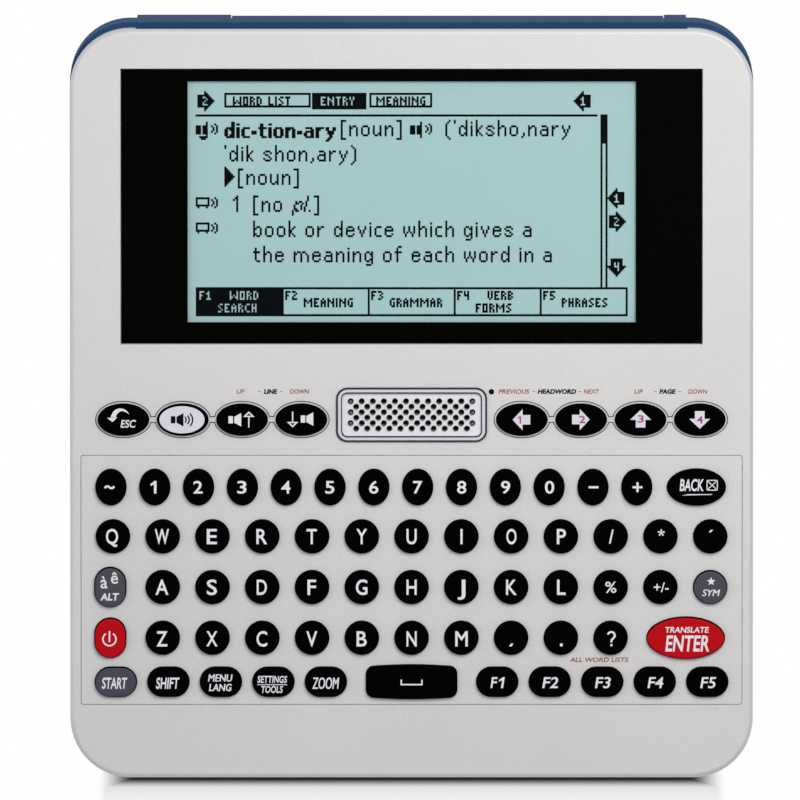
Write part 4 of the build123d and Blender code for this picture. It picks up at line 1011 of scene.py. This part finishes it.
# ---- Display -------------------------------------------------------------------------------------
# The display's own lettering, a row of dots at a time from the top, with a bar between rows.
Font = dict[str, str]
SMALL: Font = {
    "A": " # |# #|###|# #|# #",
    "B": "## |# #|## |# #|## ",
    "C": " ##|#  |#  |#  | ##",
    "D": "## |# #|# #|# #|## ",
    "E": "###|#  |## |#  |###",
    "F": "###|#  |## |#  |#  ",
    "G": " ##|#  |# #|# #| ##",
    "H": "# #|# #|###|# #|# #",
    "I": "#|#|#|#|#",
    "L": "#  |#  |#  |#  |###",
    "M": "#   #|## ##|# # #|#   #|#   #",
    "N": "#  #|## #|# ##|#  #|#  #",
    "O": "###|# #|# #|# #|###",
    "P": "## |# #|## |#  |#  ",
    "R": "## |# #|## |# #|# #",
    "S": " ##|#  | # |  #|## ",
    "T": "###| # | # | # | # ",
    "V": "# #|# #|# #|# #| # ",
    "W": "#   #|#   #|# # #|## ##|#   #",
    "Y": "# #|# #| # | # | # ",
    "1": " # |## | # | # |###",
    "2": "## |  #| # |#  |###",
    "3": "## |  #| # |  #|## ",
    "4": "# #|# #|###|  #|  #",
    "5": "###|#  |## |  #|## ",
}
TEXT: Font = {
    "a": " ### |    #| ####|#   #|#   #| ####",
    "b": "#|#|#|# ## |##  #|#   #|#   #|##  #|# ## ",
    "c": " ###|#|#|#|#| ###",
    "d": "    #|    #|    #| ## #|#  ##|#   #|#   #|#  ##| ## #",
    "e": " ### |#   #|#####|#|#   #| ### ",
    "f": "  ##| #| #|####| #| #| #| #| #",
    "g": " ## #|#  ##|#   #|#   #|#  ##| ## #|    #| ### ",
    "h": "#|#|#|# ## |##  #|#   #|#   #|#   #|#   #",
    "i": "#||#|#|#|#|#|#",
    "k": "#|#|#|#  #|# #|##|##|# #|#  #",
    "l": "#|#|#|#|#|#|#|#|#",
    "m": "# ## ## |##  #  #|#   #   #|#   #   #|#   #   #|#   #   #",
    "n": "# ## |##  #|#   #|#   #|#   #|#   #",
    "o": " ### |#   #|#   #|#   #|#   #| ### ",
    "p": "# ## |##  #|#   #|#   #|##  #|# ## |#|#",
    "r": "# ##|##|#|#|#|#",
    "s": " ### |#   #| ##|   #|#   #| ### ",
    "t": " #| #|####| #| #| #| #|  ##",
    "u": "#   #|#   #|#   #|#   #|#  ##| ## #",
    "v": "#   #|#   #| # # | # # |  #  |  #  ",
    "w": "#  #  #|#  #  #|#  #  #|# # # #| #   # | #   # ",
    "y": "#   #|#   #| # # | # # |  #  |  #  | #   |#    ",
    "[": "###|" + "#|" * 9 + "###",
    "]": "###|" + "  #|" * 9 + "###",
    "(": "  #| #|" + "#|" * 7 + " #|  #",
    ")": "#| #|" + "  #|" * 7 + " #|#",
    "'": "#|#|" + "|" * 6,
    ",": " #| #|#|",
    ".": "#",
    "·": "##|##||",
    "1": "  #| ##|# #|  #|  #|  #|  #|  #|  #",
}
HANGING = "gpy[](),"


@dataclass
class DotMatrix:
    """What the display shows, dot by dot. Columns count from the left and rows from the top.

    A dot is drawn larger than its pitch by the spread on each side, so that neighbours meet; the extra width
    is also painted shadow, the shadow each dot casts on the reflector behind it.
    """

    columns: int = 256
    rows: int = 128
    # Painted shadow: the spread widens each dot by the shadow it casts on the reflector.
    spread: float = 0.12
    dots: np.ndarray = field(init=False)

    def __post_init__(self) -> None:
        """Clears every dot."""
        self.dots = np.zeros((self.rows, self.columns), bool)

    def words(
        self,
        text: str,
        left: int,
        foot: int,
        font: Font = TEXT,
        *,
        bold: int = 0,
        lean: int = 0,
        on: bool = True,
    ) -> int:
        """Writes a line.

        Args:
            text: what it says.
            left: first column.
            foot: the row under the letters.
            font: the lettering it is set in.
            bold: by how many dots strokes are widened.
            lean: rows for each dot that a letter leans, or 0.
            on: dark dots if true, clear dots if false.

        Returns:
            The column after the last letter.
        """
        gap = 1 if font is SMALL or bold else 2
        for char in text:
            lines = font.get(char, "  ").split("|")
            base = foot - 1 + (2 if char in HANGING and font is TEXT else 0)
            for up, line in enumerate(reversed(lines)):
                for column, mark in enumerate(line):
                    if mark == "#":
                        start = left + column + (up // lean if lean else 0)
                        self.dots[base - up, start : start + 1 + bold] = on
            left += max(map(len, lines)) + gap + bold
        return left

    def fill(self, left: int, top: int, right: int, bottom: int, on: bool = True) -> None:
        """Fills a box of dots, last column and row included."""
        self.dots[top : bottom + 1, left : right + 1] = on

    def frame(self, left: int, top: int, right: int, bottom: int) -> None:
        """Draws the outline of a box."""
        self.fill(left, top, right, bottom)
        self.fill(left + 1, top + 1, right - 1, bottom - 1, False)

    def waves(self, left: int, top: int) -> None:
        """Draws two sound waves, six rows tall."""
        for column, first, last in ((0, 1, 1), (1, 2, 3), (0, 4, 4), (2, 0, 0), (3, 1, 4), (2, 5, 5)):
            self.fill(left + column, top + first, left + column, top + last)

    def phrase_sign(self, left: int, top: int) -> None:
        """Draws a speech box with its feet and its sound waves."""
        self.frame(left, top, left + 7, top + 4)
        for foot in (left + 1, left + 6):
            self.fill(foot, top + 5, foot, top + 5)
        self.waves(left + 9, top)

    def speaker_sign(self, left: int, top: int) -> None:
        """Draws a loudspeaker with its sound waves."""
        self.fill(left, top + 1, left + 2, top + 5)
        for i in range(3):
            self.fill(left + 4 + i, top + 1 - i // 2, left + 4 + i, top + 5 + i // 2)
        self.fill(left + 6, top - 1, left + 6, top + 7)
        self.waves(left + 9, top)

    def key_arrow(self, left: int, top: int, turn: int, mark: str) -> None:
        """Draws a dark block arrow with a clear digit in it.

        Args:
            left: its first column.
            top: its first row.
            turn: quarter turns from pointing right.
            mark: the digit.
        """
        sign = np.zeros((11, 10), bool)
        sign[2:9, 0:4] = True
        for i in range(6):
            sign[i : 11 - i, 4 + i] = True
        sign = np.rot90(sign, turn)
        self.dots[top : top + sign.shape[0], left : left + sign.shape[1]] |= sign
        across, down = {0: (3, 8), 2: (4, 8), 3: (4, 7)}[turn]
        self.words(mark, left + across, top + down, SMALL, on=False)

    def page(self) -> None:
        """Lays out a dictionary entry with its tabs."""
        self.key_arrow(1, 3, 0, "2")
        self.frame(17, 4, 67, 11)
        self.words("WORD LIST", 22, 11, SMALL)
        self.fill(69, 4, 100, 12)
        self.words("ENTRY", 74, 11, SMALL, on=False)
        self.frame(103, 4, 139, 11)
        self.words("MEANING", 107, 11, SMALL)
        self.key_arrow(224, 3, 2, "1")
        self.fill(0, 16, 237, 16)
        self.frame(240, 16, 243, 112)
        self.fill(240, 16, 243, 31)
        self.speaker_sign(0, 21)
        self.fill(2, 28, 6, 28)
        self.fill(3, 29, 5, 29)
        self.words("dic·tion·ary", 17, 29, bold=1)
        self.words("[noun]", 86, 28)
        self.speaker_sign(127, 21)
        self.words("('diksho,nary", 148, 28)
        self.words("'dik shon,ary)", 17, 42)
        for i in range(6):
            self.fill(17 + i, 45 + i, 17 + i, 55 - i)
        self.words("[noun]", 25, 55)
        self.phrase_sign(0, 62)
        self.words("1", 22, 70)
        left = self.words("[no ", 34, 70)
        left = self.words("pl", left, 70, lean=3)
        self.words(".]", left, 70)
        self.phrase_sign(0, 76)
        self.words("book or device which gives a", 34, 84)
        self.words("the meaning of each word in a", 34, 98)
        self.key_arrow(244, 57, 2, "1")
        self.key_arrow(245, 70, 0, "2")
        self.key_arrow(244, 96, 3, "4")
        self.tabs()

    def tabs(self) -> None:
        """Draws the five tabs along the bottom, the first one dark."""
        names = (("WORD", "SEARCH"), ("MEANING",), ("GRAMMAR",), ("VERB", "FORMS"), ("PHRASES",))
        for i, lines in enumerate(names):
            left, dark = 51 * i, i == 0
            self.fill(left, 112, left + 51, 127)
            self.fill(left + 1, 113, left + 50, 126, dark)
            self.words(f"F{i + 1}", left + 2, 119, SMALL, on=not dark)
            for line, foot in zip(lines, (119, 126) if len(lines) > 1 else (123,)):
                self.words(line, left + (20 if len(line) < 5 else 13), foot, SMALL, on=not dark)

    def mesh(self, width: float, height: float, place: Matrix) -> bpy.types.Object:
        """Makes the dark dots a flat mesh, one face for each run of dots in a row.

        Args:
            width: width of the whole picture, in millimetres.
            height: its height.
            place: matrix of its middle.

        Returns:
            The piece.
        """
        corners: list[tuple[float, float, float]] = []
        across, down = width / self.columns * MM, height / self.rows * MM
        for row in range(self.rows):
            line = np.flatnonzero(np.diff(np.concatenate(([0], self.dots[row].astype(int), [0]))))
            top = (self.rows / 2 - row + self.spread) * down
            foot = top - (1 + 2 * self.spread) * down
            for start, end in zip(line[::2], line[1::2]):
                left = (int(start) - self.spread - self.columns / 2) * across
                right = (int(end) + self.spread - self.columns / 2) * across
                corners += [(left, foot, 0), (right, foot, 0), (right, top, 0), (left, top, 0)]
        faces = [(i, i + 1, i + 2, i + 3) for i in range(0, len(corners), 4)]
        mesh = bpy.data.meshes.new("display_dots")
        mesh.from_pydata(corners, [], faces)
        mesh.transform(place)
        return placed("display_dots", mesh)


@dataclass
class Display:
    """Lens, black print, glass and the picture on it. Lengths in millimetres."""

    face: Face
    nodes: dict[str, bpy.types.Object]
    view_x: float = 0.03
    view_width: float = 93.1
    view_height: float = 50.25
    low_border: float = 4.4
    picture_width: float = 89.7
    picture_height: float = 48.05
    picture_lift: float = 0.1
    lens_thickness: float = 0.85
    lens_edge: float = 0.15
    print_depth: float = 1.19
    print_thickness: float = 0.3
    glass_depth: float = 1.8
    dots_over_glass: float = 0.02

    def build(self) -> None:
        """Builds the lens and its print in place of the plain one, and the dots on the glass."""
        x, v, wide, tall = self.face.span(self.nodes["display_window"])
        view_v = v - tall / 2 + self.low_border + self.view_height / 2
        lens = started(bpy.ops.mesh.primitive_plane_add, size=1)
        bpy.ops.transform.resize(value=(wide * MM, tall * MM, 1))
        raise_face(self.lens_thickness)
        bpy.ops.mesh.bevel(offset=self.lens_edge * MM, segments=2, affect="EDGES")
        close_edit(lens, 0)
        lens.data.transform(self.face.matrix(x, v, -self.lens_thickness))
        lens.name = "display_lens"
        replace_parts(dress(lens, LENS, "housing"), "display_window")
        view = box_loop(self.view_x - x, view_v - v, self.view_width, self.view_height)
        border = Shape((box_loop(0, 0, wide, tall), view))
        mask = draw_shape(border, self.face.matrix(x, v, -self.print_depth), self.print_thickness)
        mask.name = "display_mask"
        dress(mask, LENS_PRINT, "housing")
        page = DotMatrix()
        page.page()
        lift = self.dots_over_glass - self.glass_depth
        place = self.face.matrix(self.view_x, view_v + self.picture_lift, lift)
        dress(page.mesh(self.picture_width, self.picture_height, place), DOT_INK, "housing")
        dress(self.nodes["lcd_panel"], DISPLAY)
        LOG.info("display")


# ---- Trim, speaker, painted shade round them and printing on the face ----------------------------
@dataclass
class PrintingAndGapShade:
    """Painted shade in the gaps round the trim and the speaker and round the grille holes, and the small
    captions. Lengths in millimetres.

    A ring or rim is its outer and its inner diameter.
    """

    face: Face
    nodes: dict[str, bpy.types.Object]
    # Width of the painted shade in the gaps round the trim chains.
    line: float = 0.2
    ring: Point = (11.35, 7.4)
    ring_gap: float = 0.04
    pitch: float = 12.33
    bridge: float = 1.0
    frame_border: float = 1.0
    frame_rise: float = 0.4
    grille_rise: float = 0.2
    hole_rows: int = 6
    hole_columns: int = 12
    hole_pitch: float = 2.3
    hole_row_step: float = 1.14
    # Painted shade round each grille hole: a black ring of these outer and inner diameters.
    hole_shade_ring: Point = (1.2, 0.88)
    stop_size: Point = (0.7, 0.6)
    stop_shift: Point = (0.04, -0.1)
    stop_depth: float = 0.25
    indicator_rim: Point = (1.16, 0.8)
    caption_v: float = 80.75

    def paint_gap_shade(
        self, name: str, loops: tuple[Loop, Loop], spot: Point, height: float, depth: float = INK_DEPTH
    ) -> None:
        """Paints shade in a gap, as a dark band between two outlines.

        Args:
            name: the piece's name.
            loops: the band's outer and inner outlines.
            spot: middle of both on the face.
            height: height over the face.
            depth: the band's thickness.
        """
        dress_trim(draw_shape(Shape(loops), self.face.matrix(*spot, height), depth), GAP_SHADE_PAINT, name)

    def chains(self) -> None:
        """Paints shade in the gaps round the two silver chains and gives them their lacquer."""
        grow, gap = 2 * self.line, self.ring_gap
        outer = chain_loop(self.ring[0] + grow, self.ring[1] + grow, self.pitch, 4, self.bridge + grow)
        inner = chain_loop(self.ring[0] + gap, self.ring[1] + gap, self.pitch, 4, self.bridge)
        for node in ("left_key_trim", "right_key_trim"):
            trim = self.nodes[node]
            self.paint_gap_shade(f"{node}_line", (outer, inner), self.face.span(trim)[:2], INK_GAP)
            dress(trim, SILVER_TRIM)

    def speaker(self) -> None:
        """Paints shade in the gaps round the speaker's frame outside and inside and round the grille holes,
        and finishes it.
        """
        x, v, wide, tall = self.face.span(self.nodes["speaker_grille"])
        border = 2 * self.frame_border
        # Each outline is the frame's or the plate's, grown by a little, and then its corner radius.
        outer = round_box_loop(wide + border + 0.5, tall + border + 0.5, 2.35)
        inner = round_box_loop(wide + border - 0.3, tall + border - 0.3, 2.0)
        self.paint_gap_shade("speaker_gap_shade", (outer, inner), (x, v), INK_GAP, self.frame_rise)
        loops = (round_box_loop(wide + 0.45, tall + 0.55, 1.3), round_box_loop(wide, tall, 1.05))
        self.paint_gap_shade("grille_gap_shade", loops, (x, v), self.frame_rise + FIRST_PRINT)
        hole_shade_rings, stops = [], []
        # Painted shade: a black ring round each hole stands for the shade at its edge.
        hole_shade_outline = Shape(tuple(oval_loop(across, across, 20) for across in self.hole_shade_ring))
        stop = Shape((oval_loop(*self.stop_size, 16),), *self.stop_shift)
        for row in range(self.hole_rows):
            count = self.hole_columns - row % 2
            for i in range(count):
                across = x + (i - (count - 1) / 2) * self.hole_pitch
                up = v + ((self.hole_rows - 1) / 2 - row) * self.hole_row_step
                hole_shade_rings.append(draw_shape(hole_shade_outline, self.face.matrix(across, up, self.grille_rise)))
                if count == self.hole_columns and i in (0, count - 1):
                    place = self.face.matrix(across, up, self.grille_rise - self.stop_depth)
                    stops.append(draw_shape(stop, place))
        dress_trim(joined(hole_shade_rings, "grille_hole_painted_shade"), BLACK_INK_AND_SHADE)
        dress_trim(joined(stops, "grille_hole_stops"), STOP)
        x, v, _, _ = self.face.span(self.nodes["indicator_lens"])
        ring = Shape(tuple(oval_loop(across, across, 24) for across in self.indicator_rim))
        dress_trim(draw_shape(ring, self.face.matrix(x, v, INK_GAP)), BLACK_INK_AND_SHADE, "indicator_rim")
        dress(self.nodes["speaker_bezel"], PEARL)
        dress(self.nodes["speaker_grille"], GRILLE)

    def captions(self) -> None:
        """Prints the small words over the oval keys and under the query key."""
        row = self.caption_v
        plain = (("UP", -35.55, 1.6), ("DOWN", -23.3, 4.0), ("PREVIOUS", 21.3, 6.4), ("NEXT", 37.4, 3.2))
        plain += (("UP", 47.2, 1.8), ("DOWN", 59.5, 4.0))
        brown = [Words(text, 0.92, width, x, row, Slant.ITALIC, 0.018) for text, x, width in plain]
        brown.append(Words("ALL WORD LISTS", 0.95, 12.2, 39.0, 24.7, Slant.ITALIC, 0.02))
        heavy = (("LINE", -29.3, 2.8), ("HEADWORD", 30.2, 8.0), ("PAGE", 53.2, 3.4))
        black = [Words(text, 1.0, width, x, row, Slant.ITALIC, 0.05) for text, x, width in heavy]
        black += [Shape((box_loop(x, row, 0.5, 0.12),)) for x in (-31.6, -27.1, 25.4, 35.0, 50.7, 55.7)]
        prints = (("brown_captions", brown, BROWN_INK), ("black_captions", black, BLACK_INK_AND_SHADE))
        for name, marks, finish in prints:
            drawn = [draw(mark, self.face.matrix(0, 0, INK_GAP)) for mark in marks]
            dress_trim(joined(drawn, name), finish)

    def build(self) -> None:
        """Paints the shade in the gaps and prints all of it."""
        self.chains()
        self.speaker()
        self.captions()
        LOG.info("printing")


# ---- Casing and insides --------------------------------------------------------------------------
@dataclass
class Casing:
    """The CAD pieces that keep their shape and get their real finish. Lengths in millimetres."""

    nodes: dict[str, bpy.types.Object]
    finishes: tuple[tuple[Moulded, tuple[str, ...]], ...] = (
        (SILVER, ("front_case", "keypad_panel")),
        (BLUE, ("rear_case", "battery_door")),
        (BLACK_INK_AND_SHADE, ("indicator_lens",)),
        (CHARCOAL, ("reset_button", "headphone_jack", "speaker_driver")),
        (CHARCOAL, ("processor_chip", "memory_chips", "board_components")),
        (FOAM, ("display_gasket", "speaker_gasket")),
        (LIGHT_GUIDE, ("lcd_backlight",)),
        (STEEL, ("lcd_frame", "contact_plates", "case_screws", "board_screws")),
        (FILM, ("lcd_flex_cable",)),
        (BOARD, ("main_board",)),
        (SILICONE, ("key_mat",)),
        (RUBBER, ("rubber_feet",)),
    )
    copper_from_end: float = 13.5

    def build(self) -> None:
        """Dresses each node, and the batteries with bands where their button ends are."""
        for finish, names in self.finishes:
            for name in names:
                dress(self.nodes[name], finish)
        low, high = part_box("battery_cells")
        starts = tuple(end - self.copper_from_end * MM for end in ((low.x + high.x) / 2, high.x))
        wrap = CellWrap("printed_battery_film", "#1C1D20", "#9C6A3E", starts)
        dress(self.nodes["battery_cells"], wrap)
        LOG.info("casing")


@dataclass
class BatterySpring:
    """The conical coil that presses on the first cell. Lengths in millimetres."""

    wire: float = 0.35
    turns: int = 5
    steps: int = 20
    taper: float = 0.4

    def build(self) -> None:
        """Winds the coil inside the space of its CAD sleeve."""
        low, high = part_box("battery_spring")
        middle = (low + high) / 2
        wire = self.wire * MM
        wide, run = (high.y - low.y) / 2 - wire, high.x - low.x - 2 * wire
        count = self.turns * self.steps
        points = []
        for i in range(count + 1):
            turn, radius = math.tau * i / self.steps, wide * (1 - self.taper * i / count)
            y, z = middle.y + radius * math.cos(turn), middle.z + radius * math.sin(turn)
            points.append((low.x + wire + run * i / count, y, z))
        tube = {"dimensions": "3D", "bevel_depth": wire, "bevel_resolution": 2, "use_fill_caps": True}
        coil = solid_curve("battery_coil", [points], False, **tube)
        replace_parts(dress(coil, STEEL, "housing"), "battery_spring")
        LOG.info("battery spring")


# ---- Stage ---------------------------------------------------------------------------------------
@dataclass
class Studio:
    """Camera, lights and floor. The camera is aimed at a place on the face, in millimetres."""

    face: Face
    distance: float = 6.0
    lens: float = 1299.0
    tilt: float = -0.3
    aim_x: float = -2.41
    aim_v: float = 78.98
    sky: str = "#F2F4FA"
    sky_strength: float = 0.42

    def camera(self) -> None:
        """Sets the camera nearly straight above the face, a little towards the reader."""
        data = bpy.data.cameras.new("camera")
        data.lens = self.lens
        data.sensor_width = 36.0
        data.clip_end = 20.0
        eye = placed("camera", data)
        back = Vector((0, math.sin(math.radians(self.tilt)), math.cos(math.radians(self.tilt))))
        eye.location = self.face.matrix(self.aim_x, self.aim_v).translation + back * self.distance
        across = Vector((1, 0, 0))
        eye.rotation_mode = "QUATERNION"
        eye.rotation_quaternion = Matrix((across, back.cross(across), back)).transposed().to_quaternion()
        bpy.context.scene.camera = eye

    def lamp(
        self, name: str, place: tuple[float, float, float], size: float, power: float, colour: str
    ) -> None:
        """Hangs a square soft lamp that faces the object.

        Args:
            name: its name.
            place: where it hangs, in metres.
            size: its side, in metres.
            power: its power in watts.
            colour: its colour.
        """
        light = bpy.data.lights.new(name, "AREA")
        light.size = size
        light.energy = power
        light.color = linear(colour)[:3]
        obj = placed(name, light)
        obj.location = place
        obj.rotation_mode = "QUATERNION"
        obj.rotation_quaternion = (-Vector(place)).to_track_quat("-Z", "Y")

    def floor(self) -> None:
        """Lays the floor: white to the camera, with the lamps' shadow kept under and in front of the casing
        and darkened there by a painted shadow.
        """
        low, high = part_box("front_case")
        bpy.ops.object.select_all(action="DESELECT")
        bpy.ops.mesh.primitive_plane_add(size=8, location=(0, 0, -0.2 * MM))
        ground = bpy.context.view_layer.objects.active
        ground.name = "floor"
        material, put = new_material("pale_floor")
        parts = put("SeparateXYZ", {}, {"Vector": put("TexCoord").outputs["Object"]}).outputs
        depth, aside = parts["Y"], put("Math", {"operation": "ABSOLUTE"}, {0: parts["X"]}).outputs[0]
        # The floor turns white from a start to an end along an axis, up to a full value. In front of the
        # casing the first two ramps set how the shadow fades, so that fade is a painted shadow.
        spans = (
            (depth, low.y - 0.4 * MM, low.y - 2.4 * MM, 0.78),
            (depth, low.y - 2.0 * MM, low.y - 9.0 * MM, 0.22),
            (aside, high.x - 13 * MM, high.x - 5 * MM, 1.0),
            (depth, high.y - 8 * MM, high.y - 1 * MM, 1.0),
        )
        ramps = []
        for along, start, end, full in spans:
            rise = {"interpolation_type": "SMOOTHSTEP", "From Min": start, "From Max": end, "To Max": full}
            ramps.append(put("MapRange", rise, {"Value": along}).outputs["Result"])
        rays = put("LightPath").outputs
        kinds = {0: rays["Is Camera Ray"], 1: rays["Is Glossy Ray"]}
        seen = put("Math", {"operation": "MAXIMUM"}, kinds).outputs[0]
        level = ramps[0]
        for kind, other in zip(("ADD", "MAXIMUM", "MAXIMUM", "MULTIPLY"), [*ramps[1:], seen]):
            level = put("Math", {"operation": kind}, {0: level, 1: other}).outputs[0]
        # Painted shadow: the camera sees the floor dark grey where it is not yet white, so the shadow is
        # darker than the lamps make it.
        painted_shadow_tones = {"data_type": "RGBA", 6: linear("#F4F4F4"), 7: linear("#4A4A4E")}
        shade = put("Mix", painted_shadow_tones, {0: seen}).outputs[2]
        matte = put("BsdfDiffuse", {}, {"Color": shade}).outputs[0]
        glow = put("Emission", {"Color": linear("#FFFFFF"), "Strength": 1.0}).outputs[0]
        mixed = put("MixShader", {}, {0: level, 1: matte, 2: glow})
        put("OutputMaterial", {}, {"Surface": mixed.outputs[0]})
        ground.data.materials.append(material)

    def build(self) -> None:
        """Sets up the whole stage."""
        scene = bpy.context.scene
        scene.view_settings.view_transform = "Standard"
        scene.world = bpy.data.worlds.new("studio_air")
        scene.world.use_nodes = True
        air = scene.world.node_tree.nodes["Background"].inputs
        air["Color"].default_value = linear(self.sky)
        air["Strength"].default_value = self.sky_strength
        self.camera()
        self.lamp("key_lamp", (0.17, 0.2, 0.6), 0.36, 2.9, "#FFFDF6")
        self.lamp("fill_lamp", (-1.0, 0.15, 0.95), 1.2, 4.4, "#EFF1FF")
        self.floor()
        LOG.info("studio")


def corners(box: tuple[Vector, Vector]) -> list[list[float]]:
    """A box's two corners as plain lists."""
    return [list(corner) for corner in box]


def main() -> None:
    """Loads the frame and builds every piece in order."""
    logging.basicConfig(level=logging.INFO, format="%(name)s: %(message)s")
    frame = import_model()
    face = Face.of_frame(frame)
    Studio(face).build()
    Casing(frame["nodes"]).build()
    for part in (Keyboard, Display, PrintingAndGapShade):
        part(face, frame["nodes"]).build()
    BatterySpring().build()


if __name__ == "__main__":
    main()
